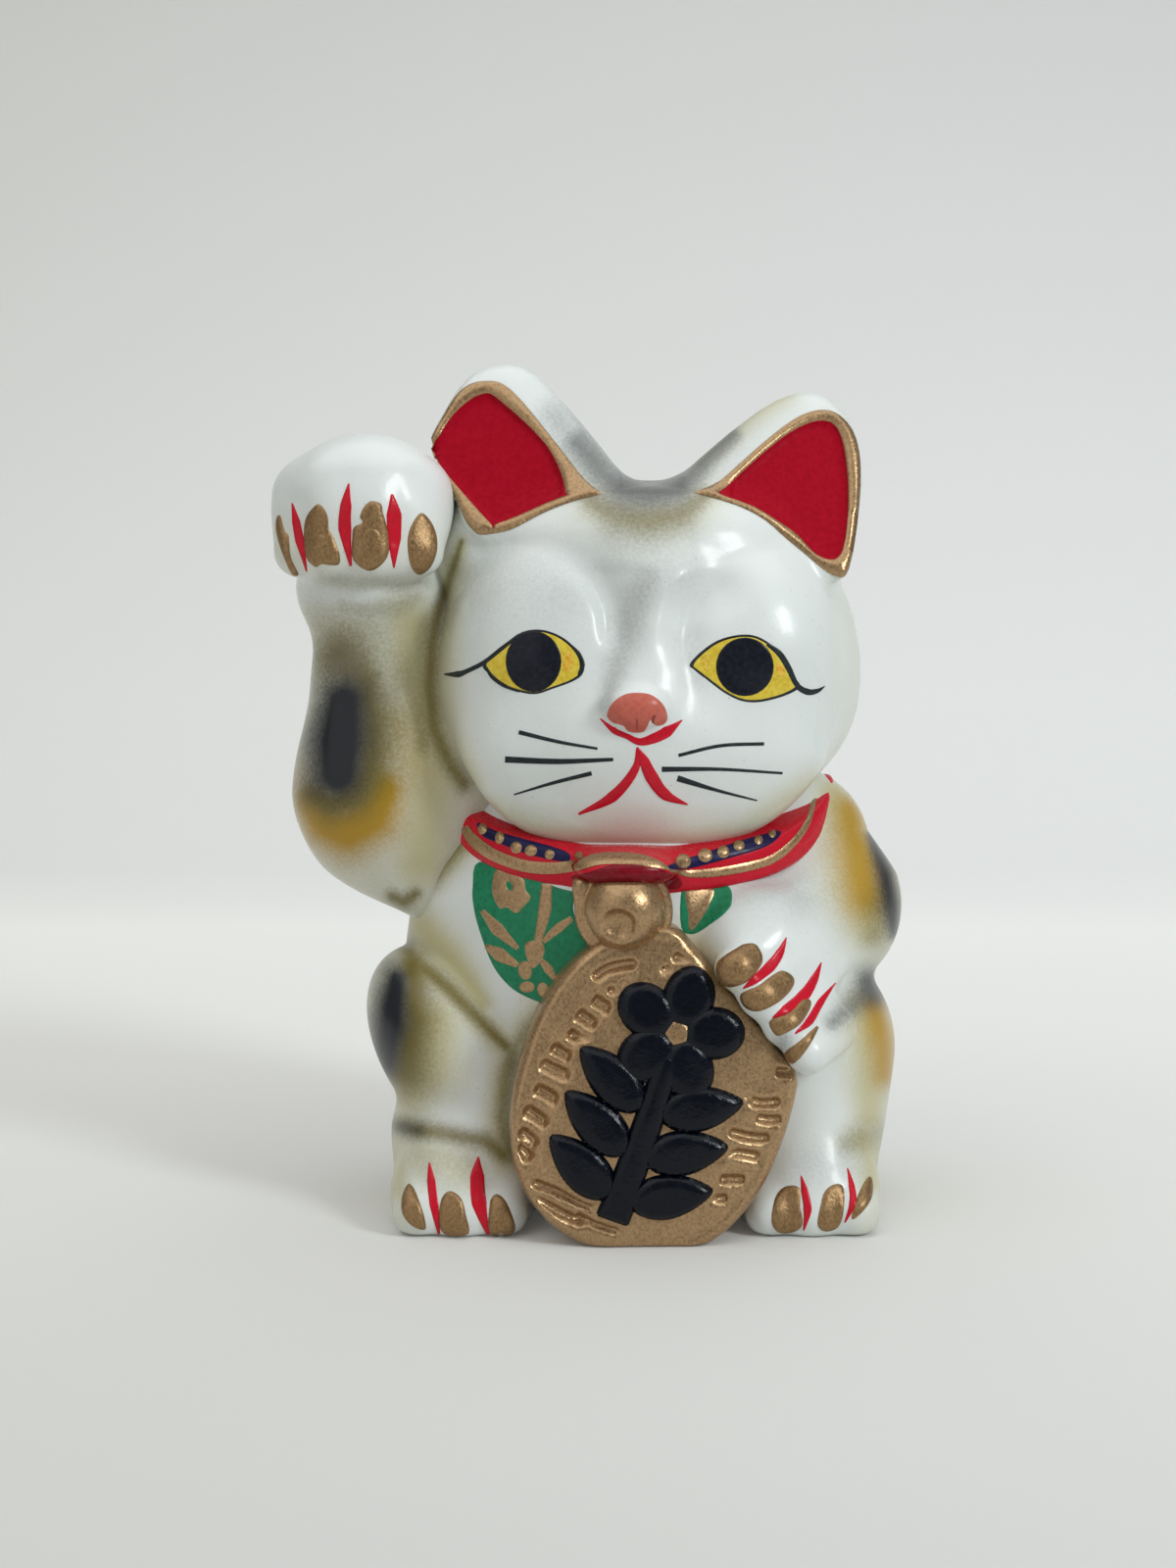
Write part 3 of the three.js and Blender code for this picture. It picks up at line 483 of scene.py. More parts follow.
def body(p):
    d = join(p, trunk, (leg_right, 1.5), (leg_left, 3), (lowered_arm, 3), (tail, 2.5))
    d = pare(d, -p[:, 2], 1.2)
    return np.maximum(d, -under_hollow(p))


# Collar, bell and coin
def collar(p):
    x, y, z = p.T
    middle = 71.75 + np.where(y < 0, 0.31, 0.1) * y
    ring = (np.hypot((x - 1.1) / 35.3, (y + 1) / 30.2) - 1) * 32.5
    middle = middle + 0.011 * np.clip(x - 22, 0, 14) ** 2 * np.clip((6 - y) / 8, 0, 1)
    bulge = 0.7 * np.clip(1 - ((z - middle + 0.4) / 4.4) ** 2, 0, 1) - 0.35
    band = pare(np.abs(ring + 4 - bulge / 2) - 4 - bulge / 2, np.abs(z - middle) - 3.55, 1.6)
    return soften(band, egg((-1.9, -34.2, 63.8), (8.8, 6.0, 3.2))(p), 4.5)


def bell(p):
    """A disc with a rounded rim, a dome on it, a groove under the dome and a dimple."""
    x, y, z = p.T
    disc = pare(np.hypot(x + 2.3, z - 56.6) - 8.4, np.abs(y + 33.8) - 3.0, 1.6)
    lug = egg((-9.6, -35.2, 60.6), (1.5, 1.9, 3.4))(p)
    dome = egg((-2.1, -35.9, 57.0), (7.0, 6.8, 7.2))(p)
    d = soften(soften(disc, lug, 0.8), dome, 0.6)
    turn = np.arctan2(x + 1.9, -(z - 56.0)) + 0.4
    fade = np.clip(1.3 - np.abs(turn) / 1.05, 0, 1)
    groove = np.hypot(np.hypot(x + 1.9, z - 56.0) - 6.5, y + 37.6) - 0.9 * fade
    d = pare(d, -groove, 0.5)
    d = pare(d, -egg((-3.5, -42.5, 54.9), (3.3, 2.6, 3.1))(p), 1.0)
    return pare(d, z - 62.3, 0.8)


# The coin: its own directions across and up, how it leans back, and its half width and height
TILT = radians(19)
LEAN = 0.1
COIN = np.array([3.0, -33.5, 26.0])
ALONG_U = np.array([cos(TILT), 0, -sin(TILT)])
ALONG_V = np.array([sin(TILT), 0, cos(TILT)])
COIN_HALF = (23.5, 28.6)
ROUNDNESS = 2.3
FACE_HEIGHT = 6.5


# The ornament on the coin: a blossom over a stem with paired leaves
BLOSSOM_V = 11.2
PETAL_REACH = 6.3
LEAF_STEP = 7.9
ORNAMENT = {"koban_stem": brush_mark([(0, -22.6), (0.3, -8), (0, 8)], [6.0, 5.4, 4.6])}
for row in range(3):
    for side, turn in ((1, 26), (-1, 154)):
        number = row * 2 + (side + 1) // 2 + 1
        height = -22.2 + LEAF_STEP * (row + 0.45)
        ORNAMENT[f"koban_leaf_{number}"] = leaf(side * 1.2, height, 15.2, 8.0, turn)
for i in range(5):
    a = pi / 2 + tau * i / 5
    petal = oval(PETAL_REACH * cos(a), BLOSSOM_V + PETAL_REACH * sin(a), 5.4, 4.5, np.degrees(a))
    ORNAMENT[f"koban_petal_{i + 1}"] = petal


COIN_DENTS = (
    [(606, 1020), (614, 1025), (622, 1030)],
    [(590, 1035), (598, 1040), (607, 1046)],
    [(581, 1054), (590, 1061), (599, 1066)],
    [(564, 1069), (573, 1075), (581, 1079)],
    [(553, 1086), (566, 1092), (579, 1098)],
    [(547, 1112), (558, 1117), (568, 1123)],
    [(537, 1133), (547, 1140), (557, 1147)],
    [(531, 1156), (539, 1162), (547, 1169)],
    [(528, 1173), (535, 1178), (541, 1184)],
)
COIN_LINES = (
    [(673, 987), (694, 996), (712, 1002), (726, 1008)],
    [(618, 1008), (635, 1017), (652, 1028), (662, 1033)],
    [(656, 1008), (677, 1017), (697, 1021), (720, 1027)],
    [(630, 1003), (652, 1011), (669, 1014)],
    [(686, 974), (703, 985), (716, 993)],
    [(603, 1001), (618, 990), (635, 985), (652, 983)],
    [(791, 1094), (801, 1095), (812, 1095)],
    [(754, 1119), (776, 1126), (799, 1125)],
    [(771, 1140), (784, 1143), (799, 1143)],
    [(741, 1154), (767, 1161), (787, 1162)],
    [(726, 1178), (750, 1176), (778, 1182)],
    [(733, 1204), (748, 1204), (761, 1205)],
    [(709, 1223), (726, 1222), (744, 1225)],
    [(536, 1206), (568, 1217), (600, 1231), (635, 1246)],
    [(532, 1217), (553, 1228), (577, 1241), (600, 1251)],
    [(585, 1239), (609, 1250), (635, 1257)],
)


def on_plane(pixels, w=7.5):
    """Places on the coin, seen at these pixels of the photograph's frame."""
    ways = sight_lines(np.array(pixels, float))
    start = EYE_POINT - COIN
    out = LEAN * ALONG_V - np.array([0, 1.0, 0])
    q = start + ways * ((w - start @ out) / (ways @ out))[:, None]
    return np.stack([q @ ALONG_U, q @ ALONG_V], 1)


SHOULDER = on_plane([(690, 946), (742, 1008)])
run = (SHOULDER[1] - SHOULDER[0]) / np.hypot(*(SHOULDER[1] - SHOULDER[0]))
SLANT = np.array([-run[1], run[0]])
DENTS = [on_plane(line) for line in COIN_DENTS]
DENTS = [line + 0.35 * (line - line.mean(0)) for line in DENTS]
FURROWS = [smooth_loop(on_plane(line), 3, False) for line in COIN_LINES]
MARK_STEP = 0.2
MARK_REACH = (26, 31)


def coin_marks():
    """Depths of the dents and furrows on a grid over the coin, none of them under the ornament."""
    axes = [np.arange(-reach, reach, MARK_STEP) for reach in MARK_REACH]
    u, v = np.meshgrid(*axes, indexing="ij")
    size = u.shape
    u, v = u.ravel(), v.ravel()
    marks = np.zeros_like(u)
    for line in DENTS:
        marks -= 1.5 * ridge(u, v, line, 1.1, 1.1, (0.25, 0.25))
    for line in FURROWS:
        furrow = 1.3 * ridge(u, v, line, 0.85, 0.85, (0.12, 0.12))
        marks += 0.35 * ridge(u, v, line, 2.6, 1.4, (0.1, 0.1)) - furrow
    gap = np.minimum.reduce([loop_distance(u, v, loop) for loop in ORNAMENT.values()])
    return (marks * np.clip((gap - 0.3) / 1.2, 0, 1)).reshape(size)


MARKS = coin_marks()


def coin_shares(u, v):
    """How far a place on the coin is from its middle to its edge, and its distance to the edge."""
    share = (np.abs(u / COIN_HALF[0]) ** ROUNDNESS + np.abs(v / COIN_HALF[1]) ** ROUNDNESS) ** (1 / ROUNDNESS)
    return share, (share - 1) * np.sqrt(u * u + v * v + 1e-6) / (share + 1e-6)


def coin_face(u, v):
    """Height of the coin's front at a place on it: a low crown, a smooth rim, dents and furrows."""
    share, edge = coin_shares(u, v)
    crown = 2.2 * (1 - np.clip(share, 0, 1) ** 2)
    rim = 0.35 * np.exp(-(((edge + 1.3) / 1.0) ** 2))
    column = np.clip((u + MARK_REACH[0]) / MARK_STEP, 0, MARKS.shape[0] - 1.001)
    line = np.clip((v + MARK_REACH[1]) / MARK_STEP, 0, MARKS.shape[1] - 1.001)
    i, j = column.astype(int), line.astype(int)
    s, t = column - i, line - j
    lower = MARKS[i, j] * (1 - s) + MARKS[i + 1, j] * s
    upper = MARKS[i, j + 1] * (1 - s) + MARKS[i + 1, j + 1] * s
    marks = (lower * (1 - t) + upper * t) * np.clip((-edge - 0.8) / 1.0, 0, 1)
    swell = 0.12 * np.sin(u * 0.55 + v * 0.2) * np.sin(v * 0.47 - u * 0.15)
    return FACE_HEIGHT + crown + rim + marks + swell


def koban(p):
    q = p - COIN
    u = q @ ALONG_U
    v = q @ ALONG_V
    w = LEAN * v - q[:, 1]
    _, edge = coin_shares(u, v)
    d = pare(edge, w - coin_face(u, v), 2.2)
    d = pare(d, (u - SHOULDER[0][0]) * SLANT[0] + (v - SHOULDER[0][1]) * SLANT[1], 2.0)
    d = pare(d, -w - 6, 1)
    return pare(d, 0.15 - p[:, 2], 0.6)


def on_coin(u, v, w):
    """Points in space from places on the coin."""
    p = COIN + u[:, None] * ALONG_U + v[:, None] * ALONG_V
    p[:, 1] -= w - LEAN * v
    return p


# Finishes
def finish_base(name):
    finish = bpy.data.materials.new(name)
    finish.use_nodes = True
    return finish, finish.node_tree, finish.node_tree.nodes["Principled BSDF"]


def add_node(tree, kind, **settings):
    node = tree.nodes.new("ShaderNode" + kind)
    for key, value in settings.items():
        if key in node.inputs:
            node.inputs[key].default_value = value
        else:
            setattr(node, key, value)
    return node


def noise(tree, scale, detail=3.0, stretch=(1, 1, 1)):
    """Noise in the object's own space. The scale is in grains a millimetre."""
    place = add_node(tree, "TexCoord")
    size = add_node(tree, "Mapping")
    size.inputs["Scale"].default_value = [1000 * scale * s for s in stretch]
    grain = add_node(tree, "TexNoise", Scale=1.0, Detail=detail)
    tree.links.new(place.outputs["Object"], size.inputs["Vector"])
    tree.links.new(size.outputs["Vector"], grain.inputs["Vector"])
    return grain.outputs["Fac"]


def remap(tree, value, low, high, to_low=0.0, to_high=1.0):
    node = tree.nodes.new("ShaderNodeMapRange")
    for key, number in zip(("From Min", "From Max", "To Min", "To Max"), (low, high, to_low, to_high)):
        node.inputs[key].default_value = number
    tree.links.new(value, node.inputs["Value"])
    return node.outputs["Result"]


def feed(tree, value, socket):
    """Gives a socket a number or a colour, or links it to another node."""
    if isinstance(value, tuple):
        socket.default_value = (*value, 1)
    elif isinstance(value, (int, float)):
        socket.default_value = value
    else:
        tree.links.new(value, socket)


def dress(tree, shader, inputs):
    for name, value in inputs.items():
        feed(tree, value, shader.inputs[name])


def math_node(tree, kind, *values):
    node = tree.nodes.new("ShaderNodeMath")
    node.operation = kind
    node.use_clamp = True
    for value, socket in zip(values, node.inputs):
        feed(tree, value, socket)
    return node.outputs[0]


def mix_colour(tree, share, a, b, blend="MIX"):
    node = tree.nodes.new("ShaderNodeMix")
    node.data_type = "RGBA"
    node.blend_type = blend
    feed(tree, share, node.inputs["Factor"])
    feed(tree, a, node.inputs[6])
    feed(tree, b, node.inputs[7])
    return node.outputs[2]


def bump(tree, shader, height, strength, distance):
    node = add_node(tree, "Bump", Strength=strength, Distance=distance / 1000)
    tree.links.new(height, node.inputs["Height"])
    tree.links.new(node.outputs["Normal"], shader.inputs["Normal"])


def glaze_finish():
    """Off-white glaze with fine grain. Tint, olive, ochre, grey and near-black colours are laid on as masks
    kept in the mesh: mostly the figurine's sprayed paint, and in some creases and hollows painted shade.
    """
    finish, tree, shader = finish_base("white_glaze")
    grain = noise(tree, 1.7, 2.0)
    cloud = noise(tree, 0.045, 2.0)
    fine = noise(tree, 5.0, 1.0)
    white = mix_colour(tree, remap(tree, cloud, 0.35, 0.65), (0.725, 0.765, 0.74), (0.785, 0.815, 0.795))
    specks = remap(tree, noise(tree, 2.2, 0.0), 0.82, 0.86)
    colour = mix_colour(tree, math_node(tree, "MULTIPLY", specks, 0.3), white, (0.20, 0.18, 0.12))
    # Colours laid on by masks: sprayed paint, and all but ochre also painted shade in some creases, hollows
    # and under the chin
    sprays_and_shade = (
        ("tint", (0.54, 0.495, 0.265), 0.25),
        ("ochre", (0.45, 0.255, 0.008), 0.40),
        ("olive", (0.18, 0.14, 0.025), 0.40),
        ("grey", (0.15, 0.155, 0.145), 0.40),
        ("soot", (0.008, 0.010, 0.015), 0.30),
    )
    for name, paint, scatter in sprays_and_shade:
        mask = add_node(tree, "Attribute", attribute_name=name).outputs["Fac"]
        wobble = remap(tree, grain, 0.3, 0.7, -scatter, scatter)
        spread = math_node(tree, "MULTIPLY", mask, math_node(tree, "SUBTRACT", 1.0, mask))
        strength = math_node(tree, "MULTIPLY_ADD", spread, wobble, mask)
        colour = mix_colour(tree, strength, colour, paint)
    roughness = remap(tree, cloud, 0.3, 0.7, 0.24, 0.36)
    dress(tree, shader, {"Base Color": colour, "Roughness": roughness, "Specular IOR Level": 0.35})
    dress(tree, shader, {"Coat Weight": 0.15, "Coat Roughness": 0.1})
    coarse = math_node(tree, "MULTIPLY", grain, 0.6)
    height = math_node(tree, "ADD", coarse, math_node(tree, "MULTIPLY", fine, 0.25))
    bump(tree, shader, height, 0.35, 0.15)
    return finish


def paint_finish(
    name, colour, second, roughness=0.28, metallic=0.0, streaks=(1, 1, 1), relief=0.1, coat=0.06, shine=0.2
):
    """Brushed paint: two near colours in streaks, and a slight relief of the brush."""
    finish, tree, shader = finish_base(name)
    brush = noise(tree, 1.1, 3.0, streaks)
    shades = mix_colour(tree, remap(tree, brush, 0.36, 0.64), colour, second)
    spread = remap(tree, brush, 0.3, 0.7, roughness * 0.8, roughness * 1.25)
    dress(tree, shader, {"Base Color": shades, "Roughness": spread, "Metallic": metallic})
    dress(tree, shader, {"Specular IOR Level": shine, "Coat Weight": coat, "Coat Roughness": 0.1})
    fine = math_node(tree, "MULTIPLY", noise(tree, 3.0, 2.0), 0.5)
    bump(tree, shader, math_node(tree, "ADD", fine, brush), relief, 0.15)
    return finish


glaze = glaze_finish()
gold = paint_finish(
    "gold_paint", (0.345, 0.21, 0.10), (0.475, 0.312, 0.165), 0.31, 0.75, (2.0, 2.0, 1.8), 0.28, 0.1, 0.5
)
dull_gold = paint_finish(
    "dull_gold_paint", (0.25, 0.145, 0.06), (0.36, 0.225, 0.105), 0.4, 0.7, (2.2, 2.2, 1.6), 0.45, 0.04, 0.5
)
red = paint_finish("red_paint", (0.62, 0.008, 0.026), (0.54, 0.006, 0.020), 0.25)
# A darker copy of the collar's red: painted shade
red_in_shade = paint_finish("red_paint_in_shade", (0.17, 0.002, 0.009), (0.23, 0.003, 0.011), 0.25)
ear_red = paint_finish("ear_red_paint", (0.40, 0.002, 0.016), (0.35, 0.001, 0.012), 0.5, coat=0.0, shine=0.06)
black = paint_finish("black_paint", (0.006, 0.008, 0.014), (0.012, 0.014, 0.022), 0.22)
thick_black = paint_finish(
    "thick_black_paint", (0.0005, 0.0015, 0.004), (0.001, 0.003, 0.009), 0.14, relief=0.7, coat=0.08
)
ink = paint_finish("ink_paint", (0.010, 0.014, 0.018), (0.022, 0.028, 0.032), 0.35)
pink = paint_finish("pink_paint", (0.58, 0.145, 0.10), (0.50, 0.115, 0.08), 0.3)
# A darker copy of the nose's pink: painted shade
pink_in_shade = paint_finish("pink_paint_in_shade", (0.30, 0.06, 0.045), (0.26, 0.05, 0.04), 0.4)
green = paint_finish("green_paint", (0.012, 0.19, 0.085), (0.016, 0.24, 0.115), 0.3)
navy = paint_finish("navy_paint", (0.004, 0.003, 0.045), (0.006, 0.005, 0.060), 0.35)
yellow = paint_finish("yellow_paint", (0.66, 0.47, 0.035), (0.76, 0.59, 0.07), 0.3)
GRAINY = (1.6, 1.6, 1.6)
orange = paint_finish("orange_paint", (0.72, 0.33, 0.03), (0.80, 0.56, 0.08), 0.3, 0.0, GRAINY)
dark_yellow = paint_finish("dark_yellow_paint", (0.62, 0.40, 0.04), (0.78, 0.58, 0.08), 0.3, 0.0, GRAINY)


def new_piece(name, points, faces, finish, *replaced):
    """A mesh in the scene, on the cat's one body, in the slot of its paint, for the nodes it replaces."""
    mesh = bpy.data.meshes.new(name)
    mesh.from_pydata((np.asarray(points) / 1000).tolist(), [], np.asarray(faces).tolist())
    mesh.shade_smooth()
    mesh.materials.append(finish)
    piece = bpy.data.objects.new(name, mesh)
    scene.collection.objects.link(piece)
    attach(piece, "root")
    if replaced:
        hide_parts(*replaced)
    return piece


# Main pieces of clay
PITCH = 0.56
targets = {}


def sculpt(name, form, low, high, pitch, finish, *replaced):
    """Meshes a form inside a box, and keeps it for the paint that is laid on it."""
    points, quads = skin(form, low, high, pitch)
    piece = new_piece(name, points, quads, finish, *replaced)
    targets[name] = (BVHTree.FromPolygons(points.tolist(), quads.tolist()), form)
    return piece, points


def puff(p, centre, radii, strength=1.0, hard=1.0):
    """A soft sprayed spot."""
    r2 = (((p - np.array(centre)) / np.array(radii)) ** 2).sum(1)
    return strength * np.exp(-(r2**hard))


def sight(p):
    """Where points lie in the photograph's frame, in its pixels."""
    ways = p - EYE_POINT
    depth = ways @ FORWARD
    return PHOTO[0] / 2 + FOCAL * ways[:, 0] / depth, PHOTO[1] / 2 - FOCAL * (ways @ UPWARD) / depth


def spray_or_shade_line(p, line, widths, strength=1.0, hard=1.0, back=8.0):
    """A soft line of colour over the front, for sprayed paint and for painted shade. Its places are pixels of
    the photograph's frame.
    """
    u, v = sight(p)
    d, along = beside(u, v, line)
    width = np.interp(along, np.linspace(0, 1, len(widths)), widths)
    return strength * np.exp(-((d / width) ** 2) ** hard) * np.clip((back - p[:, 1]) / 10, 0, 1)


MASK_POWER = 0.65


def lay_sprays_and_shade(piece, p, lines, **spots):
    """Keeps a mask in the mesh for each colour laid on, sprayed paint and painted shade alike: the strongest
    of its lines and spots.
    """
    for paint in ("tint", "olive", "ochre", "grey", "soot"):
        masks = [spray_or_shade_line(p, *line) for line in lines.get(paint, [])] + spots.get(paint, [])
        mask = np.maximum.reduce(masks) if masks else np.zeros(len(p))
        layer = piece.data.attributes.new(paint, "FLOAT", "POINT")
        layer.data.foreach_set("value", (np.clip(mask, 0, 1) ** MASK_POWER).astype(np.float32))


# Lines of sprayed paint and of painted shade: places, widths, strength, hardness, and how far back they reach
ARM_CREASE = [(471, 552), (463, 578), (449, 620), (441, 655), (438, 700), (443, 745), (457, 776), (473, 800)]
EAR_TO_EAR = [(590, 452), (618, 486), (640, 501), (664, 504), (690, 500), (706, 486), (724, 466), (748, 444)]
UNDER_SADDLE = [(604, 512), (632, 525), (664, 530), (695, 524), (716, 508)]
HEAD_SPRAYS_AND_SHADE = {
    "tint": [
        (ARM_CREASE, [6, 12, 18, 22, 24, 22, 20, 16], 0.75),
        (UNDER_SADDLE, [24], 0.25),
        # Along the top of the collar: painted shade under the chin
        ([(480, 815), (540, 845), (640, 862), (760, 848), (830, 800)], [12, 14, 13, 14, 14], 0.4),
        ([(715, 470), (765, 425), (800, 402)], [10, 12, 12], 0.5, 1, 20),
    ],
    "olive": [
        (UNDER_SADDLE, [10, 16, 17, 14, 9], 0.62),
        (ARM_CREASE, [2, 4, 6, 7, 7, 7, 6, 6], 0.85),
    ],
    "grey": [
        # The first four grey lines are painted shade in the face's relief: down the nose bridge's flank on
        # the cat's right, in the hollow by the left eye's inner corner, over the brow above the right eye and
        # across the forehead
        ([(662, 590), (648, 620), (638, 650), (628, 685), (617, 722)], [16, 16, 15, 11, 7], 0.2),
        ([(700, 655), (708, 690)], [12], 0.08),
        ([(500, 590), (560, 600)], [40], 0.08),
        ([(640, 560), (690, 580)], [30], 0.07),
        (EAR_TO_EAR, [16, 17, 17, 15, 14, 12, 10, 8], 0.85, 1, 36),
        ([(566, 424), (600, 468)], [15, 18], 0.3, 1, 36),
    ],
    "soot": [([(632, 496), (664, 500), (694, 496)], [10, 11, 10], 0.3, 1, 20)],
}
HEAD_NODES = ("head_shell", "right_ear", "left_ear")
piece, p = sculpt("head", head, (-40, -42, 62), (46, 34, 153), PITCH, glaze, *HEAD_NODES)
# Darker towards the bottom of the head: painted shade under the chin
down = np.clip((75 - p[:, 2]) / 8, 0, 1)
rim = np.clip((np.abs(p[:, 0] - 1.8) - 31) / 7, 0, 1) * np.where(p[:, 0] < 0, 1, 0.3)
saddle = puff(p, (0, 2, 129.5), (15, 14, 5.0), 1.15, 1.6)
slope = puff(p, (-8, 4, 136), (7, 12, 9), 0.65, 1.2) + puff(p, (13, 4, 135), (6, 12, 8), 0.45, 1.2)
lay_sprays_and_shade(piece, p, HEAD_SPRAYS_AND_SHADE, tint=[0.3 * down, 0.4 * rim], grey=[saddle, slope])

ARM_SPRAYS_AND_SHADE = {
    "tint": [([(420, 640), (428, 720), (440, 800), (430, 880)], [26, 30, 34, 30], 0.85)],
    "olive": [
        (ARM_CREASE, [4, 5, 6, 7, 7, 8, 8, 8], 0.8),
        (
            [(348, 668), (370, 694), (380, 740), (378, 786), (364, 812), (338, 822), (318, 812)],
            [30, 24, 25, 23, 20, 16, 13],
            0.95,
        ),
        ([(330, 640), (370, 650), (400, 690)], [26, 30, 22], 0.25),
        ([(440, 640), (436, 700), (432, 760)], [12, 12, 10], 0.35),
        # The next two olive lines are the folds at the wrist: sprayed colour, and painted shade under the paw
        ([(329, 592), (355, 595), (385, 594), (412, 600), (434, 594)], [8, 8, 7, 9, 7], 0.2),
        ([(350, 620), (375, 624), (402, 618), (424, 610)], [9, 11, 11, 8], 0.26),
        ([(400, 915), (412, 921), (424, 912)], [6, 7, 6], 0.8),
    ],
    "ochre": [
        ([(392, 806), (380, 834), (354, 849), (330, 842), (316, 818)], [20, 27, 27, 22, 17], 1.1, 1.2),
        ([(404, 740), (408, 790)], [18, 24], 0.22),
    ],
    "grey": [
        ([(352, 676), (352, 704), (350, 730)], [24, 30, 30], 0.26),
        ([(328, 725), (322, 760), (320, 796)], [12, 15, 12], 0.4),
    ],
    "soot": [([(351, 716), (347, 756), (345, 790)], [21, 29, 24], 1.3, 1.1, 12)],
}
ARM_NODES = ("raised_arm", "raised_paw")
piece, p = sculpt("arm_and_paw", raised_arm, (-68, -30, 50), (-14, 20, 142), PITCH, glaze, *ARM_NODES)
low = np.clip((109 - p[:, 2]) / 5, 0, 1)
palm_tint = puff(p, (-52, -14, 118), (16, 12, 4), 0.35)
side_spot = puff(p, (-52, 2, 73), (13, 15, 8), 0.8, 1.5)
lay_sprays_and_shade(piece, p, ARM_SPRAYS_AND_SHADE, tint=[0.25 * low, palm_tint], ochre=[side_spot])

LAP = [(410, 962), (424, 983), (441, 995), (462, 1014), (485, 1037), (501, 1053), (517, 1068)]
COIN_EDGE = [(560, 1026), (540, 1048), (524, 1072), (516, 1100), (512, 1140), (519, 1182)]
ANKLE = [(404, 1147), (419, 1152), (445, 1155), (470, 1160), (495, 1164), (513, 1178)]
BODY_SPRAYS_AND_SHADE = {
    "tint": [
        ([(404, 918), (430, 946), (456, 975), (476, 1000), (492, 1024)], [15, 18, 18, 14, 10], 1.0),
        ([(432, 900), (462, 868), (484, 850)], [14, 16, 14], 0.7),
        ([(446, 1040), (440, 1090), (412, 1118)], [26, 30, 26], 0.8),
        ([(400, 1172), (403, 1215)], [16, 14], 0.75),
        # On the cat's right foot, on the side away from the key lamp, this wash is partly sprayed colour and
        # partly painted shade
        ([(430, 1180), (474, 1192)], [26, 22], 0.4),
        ([(850, 808), (862, 850), (872, 900), (888, 948)], [16, 24, 27, 22], 0.8),
        ([(884, 1026), (888, 1070), (890, 1110), (888, 1140)], [18, 22, 22, 16], 0.85),
        ([(884, 1162), (892, 1182), (890, 1208)], [18, 16, 12], 0.75),
        (LAP, [14], 0.7),
        (COIN_EDGE, [16], 0.6),
        ([(700, 958), (725, 985), (742, 1006)], [12, 12, 10], 0.5),
    ],
    "olive": [
        (LAP, [9, 9, 8, 8, 7, 6, 5], 0.85),
        (COIN_EDGE, [7, 7, 7, 7, 7, 6], 0.5),
        (ANKLE, [9, 10, 9, 8, 9, 8], 0.8),
        ([(420, 985), (424, 1040), (412, 1094)], [15, 22, 24], 1.0, 1.1),
        ([(422, 916), (440, 896), (460, 872), (476, 856)], [8, 9, 9, 8], 0.65),
        ([(895, 1158), (880, 1160), (864, 1167)], [14, 13, 10], 0.28),
        # As above: partly sprayed colour on the cat's right foot, partly painted shade
        ([(436, 1184), (472, 1190)], [20], 0.09),
        ([(898, 925), (893, 955)], [14, 12], 0.4),
    ],
    "ochre": [
        ([(868, 826), (876, 866), (884, 914)], [17, 25, 22], 0.9),
        ([(893, 1026), (903, 1062), (904, 1096)], [13, 16, 13], 1.0),
        ([(864, 835), (866, 880)], [16, 18], 0.4),
    ],
    "grey": [
        ([(394, 985), (384, 1040), (382, 1082)], [12, 13, 10], 0.4),
        # Painted shade: the crease between the lowered arm and the thigh
        ([(888, 1004), (868, 1028), (850, 1043)], [13, 11, 8], 0.62),
        ([(800, 1060), (788, 1085)], [8, 8], 0.35),
        ([(770, 905), (812, 912)], [26, 24], 0.12),
        ([(820, 1190), (860, 1192)], [22], 0.08),
    ],
    "soot": [
        ([(405, 998), (399, 1040), (392, 1086)], [10, 19, 14], 1.1, 1.2, 12),
        ([(889, 852), (903, 886), (911, 926), (914, 952)], [5, 11, 11, 8], 0.95, 1.1, 16),
        # The next two are painted shade: in the join of the lowered arm and the thigh, and in the fold at the
        # outer side of the right ankle
        ([(887, 1000), (894, 1014)], [10, 12], 0.75),
        ([(408, 1150), (426, 1153)], [7, 7], 0.45),
    ],
}
BODY_NODES = ("body_shell", "right_thigh", "right_foot", "left_thigh", "left_foot", "tail")
BODY_NODES += ("lowered_arm", "lowered_paw")
piece, p = sculpt("body_clay", body, (-52, -46, -3), (52, 44, 84), PITCH * 1.1, glaze, *BODY_NODES)
flanks = 0.4 * np.clip((np.abs(p[:, 0]) - 36) / 10, 0, 1)
shoulder_spot = puff(p, (42, 4, 60), (7, 12, 12), 0.8, 1.5)
side_spots = [puff(p, (52, 9, 57), (13, 11, 10), 0.9, 1.6), puff(p, (-50, 8, 34), (13, 12, 10), 0.9, 1.6)]
lay_sprays_and_shade(piece, p, BODY_SPRAYS_AND_SHADE, tint=[flanks], ochre=[shoulder_spot], soot=side_spots)

sculpt("collar_band", collar, (-38, -44, 56), (40, 36, 84), 0.5, red, "collar")
sculpt("bell_gold", bell, (-14, -46, 46), (10, -28, 70), 0.3, gold, "bell")
sculpt("koban_gold", koban, (-26, -48, -2), (32, -24, 58), 0.3, gold, "koban")


# Thin paint, laid on the clay
MM_PER_PIXEL = 0.17


def laid(form, p, rounds, reach):
    """Points moved onto a form's skin, with the directions out of it. All of them are found."""
    places = settle(form, p, rounds, reach)
    slopes = gradient(form, places)
    return places, slopes / np.linalg.norm(slopes, axis=1)[:, None], np.ones(len(p), bool)


